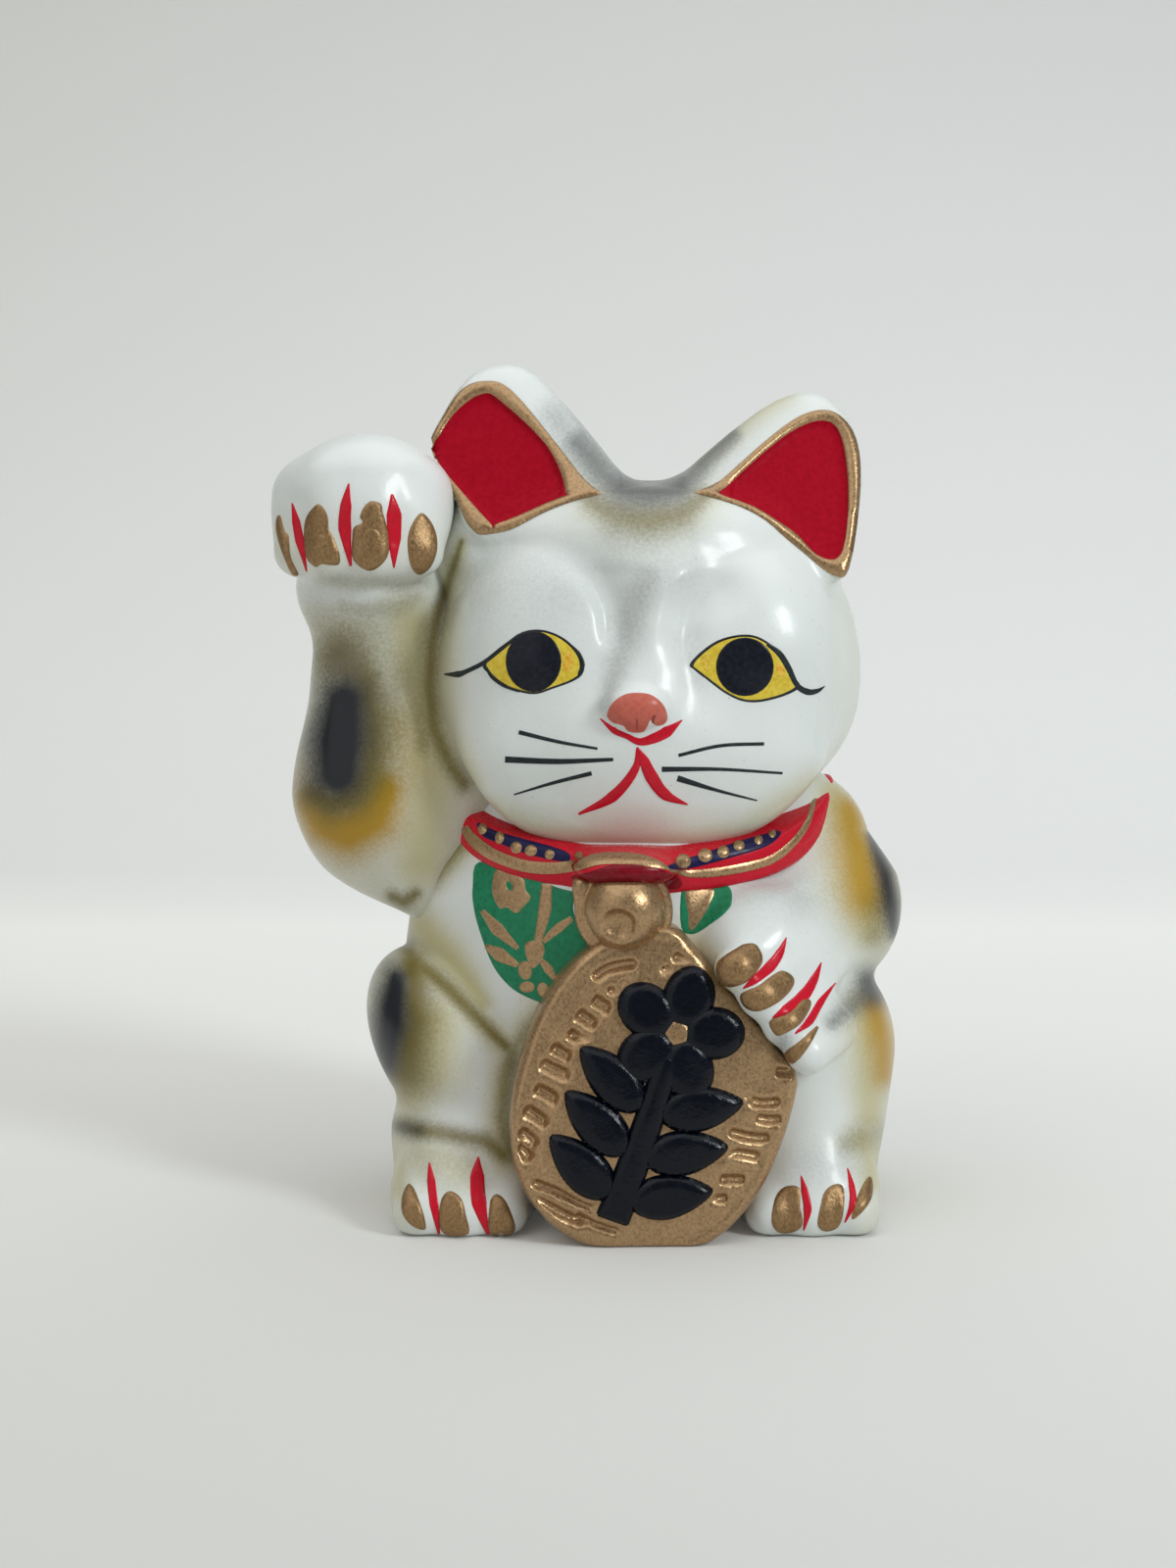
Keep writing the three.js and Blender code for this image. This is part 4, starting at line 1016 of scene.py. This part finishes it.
def seen(name):
    """Gives where sight lines through places in the photograph's frame meet the named piece."""
    tree, form = targets[name]

    def cast(uv):
        places = np.zeros((len(uv), 3))
        normals = np.zeros((len(uv), 3))
        found = np.zeros(len(uv), bool)
        for i, way in enumerate(sight_lines(uv)):
            hit = tree.ray_cast(Vector(EYE_POINT), Vector(way).normalized())[0]
            if hit is not None:
                places[i] = hit
                found[i] = True
        places[found], normals[found], _ = laid(form, places[found], 2, 0.3)
        return places, normals, found

    cast.scale = MM_PER_PIXEL
    return cast


def resample(loop, pitch):
    """Points at an even pitch along a closed loop."""
    ends = np.vstack([loop, loop[:1]])
    steps = np.linalg.norm(np.diff(ends, axis=0), axis=1)
    marks = np.concatenate([[0], np.cumsum(steps)])
    count = max(8, int(marks[-1] / pitch))
    where = np.linspace(0, marks[-1], count, endpoint=False)
    return np.stack([np.interp(where, marks, ends[:, i]) for i in range(2)], 1)


RIM_PITCH = 0.6
INSETS = (0.35, 0.9)
LONGEST = 6


def film(name, cast, loops, finish, lift, edge, pitch, replaced=(), sunk=0.05):
    """A skin of paint inside closed loops, following what carries it, with a rounded edge."""
    unit = cast.scale
    loops = [resample(np.asarray(loop, float), pitch * RIM_PITCH / unit) for loop in loops]
    every = np.vstack(loops)
    inset = []
    for loop in loops:
        ahead = np.roll(loop, -1, 0) - np.roll(loop, 1, 0)
        across = np.stack([-ahead[:, 1], ahead[:, 0]], 1) / (np.linalg.norm(ahead, axis=1)[:, None] + 1e-9)
        for share in INSETS:
            for sign in (-1, 1):
                inset.append((loop + sign * across * share * edge / unit, share * edge / unit))
    grid_step = pitch / unit
    low = every.min(0)
    high = every.max(0)
    xs = np.arange(low[0], high[0], grid_step)
    ys = np.arange(low[1], high[1], grid_step * HALF_ROOT_3)
    gx, gy = np.meshgrid(xs, ys)
    gx = gx + (np.arange(len(ys)) % 2)[:, None] * grid_step / 2
    grid = np.stack([gx.ravel(), gy.ravel()], 1)

    def inside_depth(q):
        depth = np.full(len(q), 1e9)
        within = np.zeros(len(q), bool)
        for loop in loops:
            d = loop_distance(q[:, 0], q[:, 1], loop)
            depth = np.minimum(depth, np.abs(d))
            within ^= d < 0
        return np.where(within, depth, -depth)

    kept = [every]
    for points, need in inset:
        kept.append(points[inside_depth(points) > need * 0.93])
    kept.append(grid[inside_depth(grid) > max(edge * 1.25 / unit, grid_step * 0.4)])
    flat = np.vstack(kept)
    edges = []
    start = 0
    for loop in loops:
        n = len(loop)
        edges += [(start + i, start + (i + 1) % n) for i in range(n)]
        start += n
    uv, _, faces, _, _, _ = delaunay_2d_cdt([Vector(q) for q in flat], edges, [], 0, 1e-5)
    uv = np.array([(q[0], q[1]) for q in uv])
    faces = np.array(faces)
    middles = uv[faces].mean(1)
    faces = faces[inside_depth(middles) > 0]
    places, normals, found = cast(uv)
    faces = faces[found[faces].all(1)]
    depth = np.clip(inside_depth(uv) * unit / edge, 0, 1)
    height = lift * np.sqrt(np.clip(1 - (1 - depth) ** 2, 0, 1)) - sunk * (depth < 1e-3)
    points = places + normals * height[:, None]
    facing = np.cross(points[faces[:, 1]] - points[faces[:, 0]], points[faces[:, 2]] - points[faces[:, 0]])
    wrong = (facing * normals[faces[:, 0]]).sum(1) < 0
    faces[wrong] = faces[wrong][:, ::-1]
    corners = points[faces]
    longest = np.linalg.norm(corners - np.roll(corners, -1, 1), axis=2).max(1)
    faces = faces[longest < LONGEST * pitch]
    used, back = np.unique(faces, return_inverse=True)
    new_piece(name, points[used], back.reshape(-1, 3), finish, *replaced)


def brush(strokes, cast, finish, lift, edge, pitch):
    """Brush strokes in paint. Each has a name, a middle line and its widths."""
    for name, (points, widths) in strokes.items():
        film(name, cast, [brush_mark(points, widths)], finish, lift, edge, pitch)


on_head = seen("head")
on_arm = seen("arm_and_paw")
on_body = seen("body_clay")
on_collar = seen("collar_band")

# Eyes
EYES = {
    "right": (
        oval(544.5, 675, 28.9, 31.6),
        [(495, 677), (512, 662), (528, 649), (542, 644), (558, 645), (574, 652), (587, 664), (594, 678)]
        + [(592, 688), (582, 695), (563, 702), (547, 707), (531, 705), (512, 698), (500, 687)],
    ),
    "left": (
        oval(760, 680.5, 30, 30.5),
        [(706, 678), (718, 665), (735, 654), (756, 649), (773, 651), (789, 661), (801, 673), (808, 689)]
        + [(814, 700), (799, 709), (775, 715), (757, 714), (740, 706), (724, 694), (711, 684)],
    ),
}
for side, (pupil, lids) in EYES.items():
    loop = smooth_loop(lids, 6)
    centre = loop.mean(0)
    outer, inner, iris = (centre + (loop - centre) * share for share in (1.045, 0.955, 0.985))
    film(f"{side}_eye_line", on_head, [outer, inner], ink, 0.12, 0.25, 0.4)
    film(f"{side}_iris", on_head, [iris], yellow, 0.09, 0.3, 0.45)
    film(f"{side}_pupil", on_head, [pupil], black, 0.2, 0.4, 0.45)
TOUCHES = {
    "orange_touch_1": (
        orange,
        [(574, 668), (580, 664), (584, 668), (586, 676), (583, 683), (577, 686), (574, 678)],
    ),
    "orange_touch_2": (orange, [(791, 680), (797, 678), (801, 684), (800, 690), (794, 691)]),
    "ochre_touch": (dark_yellow, [(716, 670), (722, 668), (725, 676), (724, 685), (718, 683)]),
}
for name, (finish, loop) in TOUCHES.items():
    film(name, on_head, [smooth_loop(loop)], finish, 0.13, 0.25, 0.35)
LASHES = {
    "right_lash": (
        [(530, 648), (512, 662), (494, 676), (476, 685), (467, 688), (453, 688)],
        [4, 5, 5, 5, 7, 2],
    ),
    "left_lash": (
        [(782, 657), (795, 667), (804, 681), (813, 699), (824, 706), (834, 705), (842, 700)],
        [4, 7, 7, 6, 7, 5, 1],
    ),
    "right_lid_corner": ([(580, 656), (590, 667), (594, 679), (590, 689)], [2, 5, 6, 3]),
    "right_lid_lower": ([(496, 680), (502, 690), (514, 699), (530, 706)], [3, 5, 5, 2]),
}
brush(LASHES, on_head, ink, 0.14, 0.25, 0.3)

# Nose, mouth and whiskers
NOSE = [(619, 730), (621, 723), (626, 716), (634, 710), (643, 707), (657, 707), (665, 709), (671, 713)]
NOSE += [(677, 719), (681, 728), (681, 735), (678, 739), (672, 741), (667, 739), (664, 735), (661, 741)]
NOSE += [(657, 747), (648, 748), (640, 746), (636, 741), (626, 738), (621, 734)]
film("nose_pink", on_head, [smooth_loop(NOSE, 5)], pink, 0.16, 0.4, 0.35, ("nose",))
# Darker pink in the nose's middle groove and in its left nostril: painted shade in these hollows
NOSE_SHADE_LINES = {
    "nose_fold_shade": ([(650, 729), (650, 737), (650, 747)], [1, 2.6, 2]),
    "nostril": ([(670, 729), (667, 731), (666, 738)], [1, 4.5, 2]),
}
brush(NOSE_SHADE_LINES, on_head, pink_in_shade, 0.2, 0.2, 0.3)
MOUTH = {
    "lip": (
        [(610, 731), (626, 745), (640, 751.5), (653, 757), (667, 753.5), (681, 746.5), (697, 734)],
        [1, 7, 6, 8, 11, 12, 1],
    ),
    "mouth_right": ([(650, 763), (648, 785), (625, 813), (590, 831)], [2, 9, 12, 3]),
    "mouth_left": ([(650, 762), (657, 776), (665, 793), (679, 811), (704, 822)], [2, 11, 14, 12, 1]),
}
brush(MOUTH, on_head, red, 0.2, 0.5, 0.35)
WHISKERS = {
    "whisker_1": ([(529, 747), (570, 757), (610, 764)], [5, 4, 3]),
    "whisker_2": ([(515, 775), (570, 777), (626, 775)], [7, 6, 4]),
    "whisker_3": ([(604, 789), (564, 799), (524, 811)], [5, 4, 2]),
    "whisker_4": ([(692, 771), (735, 761), (780, 759)], [4, 4, 4]),
    "whisker_5": ([(675, 785), (735, 785), (799, 789)], [6, 4, 3]),
    "whisker_6": ([(691, 794), (730, 806), (773, 817)], [7, 4, 2]),
}
brush(WHISKERS, on_head, ink, 0.12, 0.3, 0.3)


# Ears: gold on the rims, red in the hollows
def on_ear(shape):
    """Gives places on an ear's skin, from places across and up in the cat's own millimetres."""
    def cast(uv):
        x, z = uv.T
        return laid(head, np.stack([x, ear_front(shape, x, z), z], 1), 9, 0.6)

    cast.scale = 1.0
    return cast


for name, shape in (("right", EAR_RIGHT), ("left", EAR_LEFT)):
    outer = smooth_loop(shape["gold"], 6)
    inner = smooth_loop(shape["red"], 6)
    spread = inner + (inner - inner.mean(0)) * 0.07
    film(f"{name}_ear_red", on_ear(shape), [spread], ear_red, 0.3, 0.5, 0.5)
    film(f"{name}_ear_rim", on_ear(shape), [outer, inner], gold, 0.8, 1.5, 0.4, sunk=-0.08)

# Claws in gold, and red strokes between them
RAISED_CLAWS = (
    [(282, 528), (286, 525), (291, 542), (295, 547), (297, 568), (305, 586), (298, 587), (291, 573)]
    + [(285, 557), (281, 540)],
    [(325, 514), (331, 519), (335, 528), (336, 540), (341, 549), (347, 566), (346, 576), (337, 577)]
    + [(328, 576), (322, 579), (313, 571), (310, 557), (310, 537), (313, 526), (319, 518)],
    [(380, 511), (389, 514), (391, 523), (394, 533), (397, 547), (397, 564), (390, 576), (378, 583)]
    + [(366, 578), (359, 568), (359, 550), (361, 538), (370, 533), (367, 528), (370, 519), (375, 513)],
    [(430, 523), (440, 532), (446, 547), (446, 564), (439, 580), (428, 587), (420, 580), (416, 564)]
    + [(416, 547), (421, 533)],
)
LOWERED_CLAWS = (
    [(771, 963), (778, 974), (777, 985), (764, 1001), (750, 1007), (739, 1007), (731, 997), (731, 983)]
    + [(739, 975), (750, 968), (759, 963)],
    [(798, 990), (810, 997), (809, 1008), (796, 1022), (776, 1032), (762, 1030), (755, 1021), (757, 1013)]
    + [(773, 1006), (785, 997)],
    [(817, 1020), (827, 1020), (827, 1029), (817, 1045), (801, 1055), (792, 1057), (785, 1047), (787, 1040)]
    + [(805, 1033)],
    [(837, 1044), (825, 1069), (809, 1086), (800, 1075), (816, 1062)],
)
RIGHT_FOOT_CLAWS = (
    [(416, 1208), (410, 1220), (410, 1238), (420, 1251), (434, 1255), (433, 1241), (426, 1220), (421, 1210)],
    [(460, 1215), (471, 1223), (476, 1241), (479, 1258), (467, 1262), (454, 1260), (448, 1251), (448, 1233)]
    + [(452, 1220)],
    [(507, 1218), (516, 1225), (524, 1243), (526, 1255), (520, 1261), (506, 1262), (498, 1256), (499, 1233)]
    + [(501, 1223)],
)
LEFT_FOOT_CLAWS = (
    [(803, 1210), (816, 1212), (817, 1231), (819, 1250), (809, 1258), (794, 1258), (787, 1247), (789, 1228)]
    + [(794, 1216)],
    [(852, 1208), (861, 1212), (861, 1237), (855, 1253), (842, 1257), (834, 1250), (836, 1234), (841, 1216)],
    [(887, 1200), (891, 1206), (890, 1222), (881, 1236), (869, 1245), (872, 1228), (880, 1209)],
)
CLAW_SETS = (
    ("raised_claw", on_arm, RAISED_CLAWS),
    ("lowered_claw", on_body, LOWERED_CLAWS),
    ("right_foot_claw", on_body, RIGHT_FOOT_CLAWS),
    ("left_foot_claw", on_body, LEFT_FOOT_CLAWS),
)
for name, cast, claws in CLAW_SETS:
    for i, claw in enumerate(claws, 1):
        loop = smooth_loop(claw)
        film(f"{name}_gold_{i}", cast, [loop], dull_gold, 0.38, 1.0, 0.4, (f"{name}_{i}",))
NAILS = (
    ("raised_nail_2", on_arm, (327.5, 554, 8.6, 10.3, 0)),
    ("raised_nail_3", on_arm, (379, 550, 11, 12, 0)),
    ("lowered_nail_2", on_body, (772, 1016, 8, 5, -20)),
)
for name, cast, nail in NAILS:
    film(name, cast, [oval(*nail)], dull_gold, 0.5, 0.7, 0.35, (), -0.15)
STROKES = (
    (on_arm, [(298, 513), (302, 532), (306, 552), (313, 584)], [2, 9, 10, 2]),
    (on_arm, [(356, 493), (353, 515), (352, 540), (358, 578)], [2, 12, 14, 3]),
    (on_arm, [(400, 504), (402, 525), (402, 550), (402, 580)], [3, 16, 15, 2]),
    (on_body, [(758, 1009), (770, 1000), (786, 986), (796, 972), (803, 955)], [2, 9, 12, 9, 1]),
    (on_body, [(788, 1039), (802, 1030), (820, 1016), (831, 999), (839, 980)], [2, 10, 13, 9, 1]),
    (on_body, [(811, 1055), (826, 1042), (838, 1022), (855, 1000)], [2, 9, 8, 1]),
    (on_body, [(438, 1186), (440, 1205), (443, 1230), (448, 1260)], [2, 9, 10, 3]),
    (on_body, [(488, 1180), (487, 1200), (489, 1228), (499, 1263)], [2, 15, 16, 3]),
    (on_body, [(817, 1198), (821, 1215), (824, 1235), (820, 1256)], [1, 8, 9, 2]),
    (on_body, [(864, 1189), (869, 1210), (870, 1228), (862, 1248)], [1, 7, 8, 2]),
)
for i, (cast, points, widths) in enumerate(STROKES, 1):
    film(f"red_stroke_{i}", cast, [brush_mark(points, widths)], red, 0.2, 0.5, 0.35)

# Bib: green, with a gold flower and leaves brushed on it
BIB_RIGHT = [(489, 879), (482, 905), (483, 926), (489, 950), (502, 984), (518, 1005), (536, 1017)]
BIB_RIGHT += [(562, 1025), (573, 1010), (596, 981), (599, 963), (589, 942), (585, 926), (586, 911)]
BIB_RIGHT += [(571, 906), (536, 894)]
BIB_LEFT = [(696, 906), (714, 903), (743, 904), (747, 921), (740, 932), (727, 942), (709, 953), (695, 947)]
film("bib_right", on_body, [smooth_loop(BIB_RIGHT)], green, 0.12, 0.4, 0.6)
film("bib_left", on_body, [smooth_loop(BIB_LEFT)], green, 0.12, 0.4, 0.5)
BLOOM = [(506, 888), (518, 891), (534, 896), (537, 908), (542, 916), (536, 924), (528, 932), (523, 930)]
BLOOM += [(517, 926), (510, 927), (504, 916), (502, 905)]
BIB_GOLD = (
    [smooth_loop(BLOOM), oval(520, 904, 2.6, 5, -20, 10)],
    [brush_mark([(492, 929), (508, 948), (529, 968)], [5, 14, 5])],
    [brush_mark([(496, 965), (510, 974), (529, 985)], [5, 15, 6])],
    [brush_mark([(558, 902), (556, 930), (549, 960)], [11, 14, 8])],
    [brush_mark([(584, 937), (570, 947), (554, 961)], [6, 10, 6])],
    [smooth_loop([(536, 963), (552, 960), (556, 972), (547, 987), (540, 984)])],
    [oval(536, 990, 7, 10, -10)],
    [oval(538, 1007, 8, 6)],
    [brush_mark([(551, 978), (560, 989), (568, 1001)], [5, 10, 4])],
    [oval(554.5, 1010, 6, 8, -15)],
    [smooth_loop([(701, 909), (728, 907), (725, 921), (717, 937), (704, 950), (702, 932), (700, 921)])],
)
for i, loops in enumerate(BIB_GOLD, 1):
    film(f"bib_gold_{i}", on_body, loops, gold, 0.24, 0.5, 0.4, (), -0.1)

# Collar: navy bands with gold dots, and a wavy gold band along the lower edge
COLLAR_NAVY = (
    [(487, 839), (507, 848), (536, 856), (565, 864), (581, 871), (580, 879), (565, 878), (536, 871)]
    + [(510, 861), (492, 853)],
    [(679, 886), (688, 880), (719, 870), (753, 858), (782, 850), (795, 847), (796, 853), (782, 864)]
    + [(751, 874), (711, 885), (690, 888)],
)
for i, loop in enumerate(COLLAR_NAVY, 1):
    film(f"collar_navy_{i}", on_collar, [smooth_loop(loop)], navy, 0.12, 0.35, 0.4)
COLLAR_DOTS = (
    (492.6, 846, 4.6, 5.6),
    (510, 855, 4.8, 6.2),
    (527, 865, 6, 6),
    (542, 868, 6.4, 5.8),
    (561, 872, 5.2, 5),
    (591, 873, 4.2, 4),
    (697, 879, 8, 7.6),
    (719.5, 873, 7.4, 7),
    (738, 869.5, 6.3, 6.3),
    (754, 863, 5.8, 5.6),
    (774, 857.5, 4.6, 4.8),
    (788, 851, 3.8, 4.2),
)
for i, dot in enumerate(COLLAR_DOTS, 1):
    film(f"collar_dot_{i}", on_collar, [oval(*dot, 0, 16)], gold, 0.4, 0.8, 0.35, (), -0.1)
LOWER_BAND = [(474, 844), (482, 856), (498, 869), (517, 878), (538, 884), (562, 886), (588, 883), (610, 877)]
LOWER_BAND += [(631, 876), (650, 877), (664, 880), (676, 884), (684, 888)]
RIGHT_BAND = [(680, 887), (698, 891), (720, 891), (750, 887), (785, 878), (808, 861), (824, 839), (832, 812)]
BANDS = {
    "collar_gold_long": (LOWER_BAND, [8, 12, 12, 12, 12, 11, 12, 12, 11, 7, 1]),
    "collar_gold_right": (RIGHT_BAND, [1, 7, 9, 9, 8, 6, 4]),
}
for name, (line, widths) in BANDS.items():
    film(name, on_collar, [brush_mark(line, widths, 5)], gold, 0.26, 0.7, 0.45, (), -0.1)
# Darker red where the collar's swell turns down over the bell: painted shade on the red paint
SHADED_RED = [(582, 895), (600, 890), (612, 886), (626, 882), (648, 881), (664, 884), (677, 888), (694, 896)]
SHADED_RED += [(692, 907), (655, 910), (621, 909), (596, 903)]
film("collar_red_in_shade", on_collar, [smooth_loop(SHADED_RED)], red_in_shade, 0.12, 0.35, 0.45)


# The coin's ornament, in thick black
def on_koban(uv):
    """Gives places on the coin's skin, from places across and up it in millimetres."""
    u, v = uv.T
    return laid(koban, on_coin(u, v, coin_face(u, v)), 3, 0.4)


on_koban.scale = 1.0
for name, loop in ORNAMENT.items():
    replaced = ("koban_ornament",) if name == "koban_stem" else ()
    film(name, on_koban, [loop], thick_black, 1.5, 2.0, 0.4, replaced)
film("koban_heart", on_koban, [oval(0, BLOSSOM_V, 2.5, 2.5)], gold, 1.2, 0.9, 0.4)

# Base plate: unglazed clay
bisque = paint_finish("bisque", (0.62, 0.56, 0.46), (0.70, 0.65, 0.56), 0.85, relief=0.5, coat=0.0)
nodes["base_plate"].data.materials.clear()
nodes["base_plate"].data.materials.append(bisque)

# Floor and backdrop in one sweep, light and background
BEND = 0.5
BEND_START = 0.35
bend = [(BEND_START + BEND * sin(t), BEND - BEND * cos(t)) for t in np.linspace(0, pi / 2, 13)[1:]]
sweep = [(-1.6, 0.0), (BEND_START, 0.0)] + bend + [(BEND_START + BEND, 2.2)]
floor_points = [(x, y, z) for y, z in sweep for x in (-2.5, 2.5)]
floor_faces = [(2 * i, 2 * i + 1, 2 * i + 3, 2 * i + 2) for i in range(len(sweep) - 1)]
floor_mesh = bpy.data.meshes.new("floor")
floor_mesh.from_pydata(floor_points, [], floor_faces)
floor_mesh.shade_smooth()
floor = bpy.data.objects.new("floor", floor_mesh)
scene.collection.objects.link(floor)
floor_finish, tree, shader = finish_base("floor")
place = add_node(tree, "TexCoord")
split = add_node(tree, "SeparateXYZ")
tree.links.new(place.outputs["Object"], split.inputs["Vector"])
depth = remap(tree, split.outputs["Y"], -0.35, 0.3)
height = remap(tree, split.outputs["Z"], 0.05, 0.75)
across = remap(tree, split.outputs["X"], -0.6, 0.6)
# Painted shade on the sweep: darker on the left, towards the front of the floor and towards the top of the
# backdrop
floor_shaded_left = mix_colour(tree, across, (0.93, 0.92, 0.89), (0.98, 0.99, 1.0))
wall_shaded_left = mix_colour(tree, across, (0.78, 0.78, 0.76), (0.97, 0.98, 1.0))
ground = mix_colour(tree, depth, (0.55, 0.545, 0.53), (0.97, 0.97, 0.95))
wall = mix_colour(tree, height, (0.97, 0.97, 0.95), (0.61, 0.61, 0.585))
behind = remap(tree, split.outputs["Y"], 0.3, 0.4)
pale = mix_colour(tree, behind, ground, wall)
left = mix_colour(tree, behind, floor_shaded_left, wall_shaded_left)
dress(tree, shader, {"Base Color": mix_colour(tree, 1, pale, left, "MULTIPLY")})
dress(tree, shader, {"Roughness": 0.85, "Specular IOR Level": 0.2})
# Painted light: the sweep glows for camera rays and in reflections, a little more on the left, and this pales
# the cat's shadow on it
rays = add_node(tree, "LightPath")
straight = math_node(tree, "MAXIMUM", rays.outputs["Is Camera Ray"], rays.outputs["Is Glossy Ray"])
paler = math_node(tree, "MAXIMUM", straight, rays.outputs["Is Transmission Ray"])
glow = math_node(tree, "MULTIPLY", paler, remap(tree, split.outputs["X"], -0.5, 0.5, 0.04, 0.03))
dress(tree, shader, {"Emission Color": (1.0, 0.99, 0.97), "Emission Strength": glow})
floor_mesh.materials.append(floor_finish)


def lamp(name, place, target, size, power, colour=(1, 1, 1)):
    light = bpy.data.lights.new(name, "AREA")
    light.shape = "RECTANGLE"
    light.size, light.size_y = size
    light.energy = power
    light.color = colour
    holder = bpy.data.objects.new(name, light)
    holder.location = place
    way = Vector(target) - Vector(place)
    holder.rotation_euler = way.to_track_quat("-Z", "Y").to_euler()
    scene.collection.objects.link(holder)


BELLY = (0, 0, 0.08)
lamp("key", (0.62, -0.52, 0.50), BELLY, (0.20, 0.28), 3.45, (0.92, 0.98, 1.0))
lamp("fill", (-0.75, -0.75, 0.45), BELLY, (1.3, 1.3), 2.5, (1.0, 0.985, 0.95))
lamp("overhead", (-0.06, -0.01, 0.95), BELLY, (1.5, 1.5), 7.1, (0.98, 1.0, 1.0))

world = bpy.data.worlds.new("world")
scene.world = world
world.use_nodes = True
sky = world.node_tree.nodes["Background"]
sky.inputs["Color"].default_value = (0.80, 0.81, 0.82, 1)
sky.inputs["Strength"].default_value = 0.30
scene.view_settings.view_transform = "Standard"
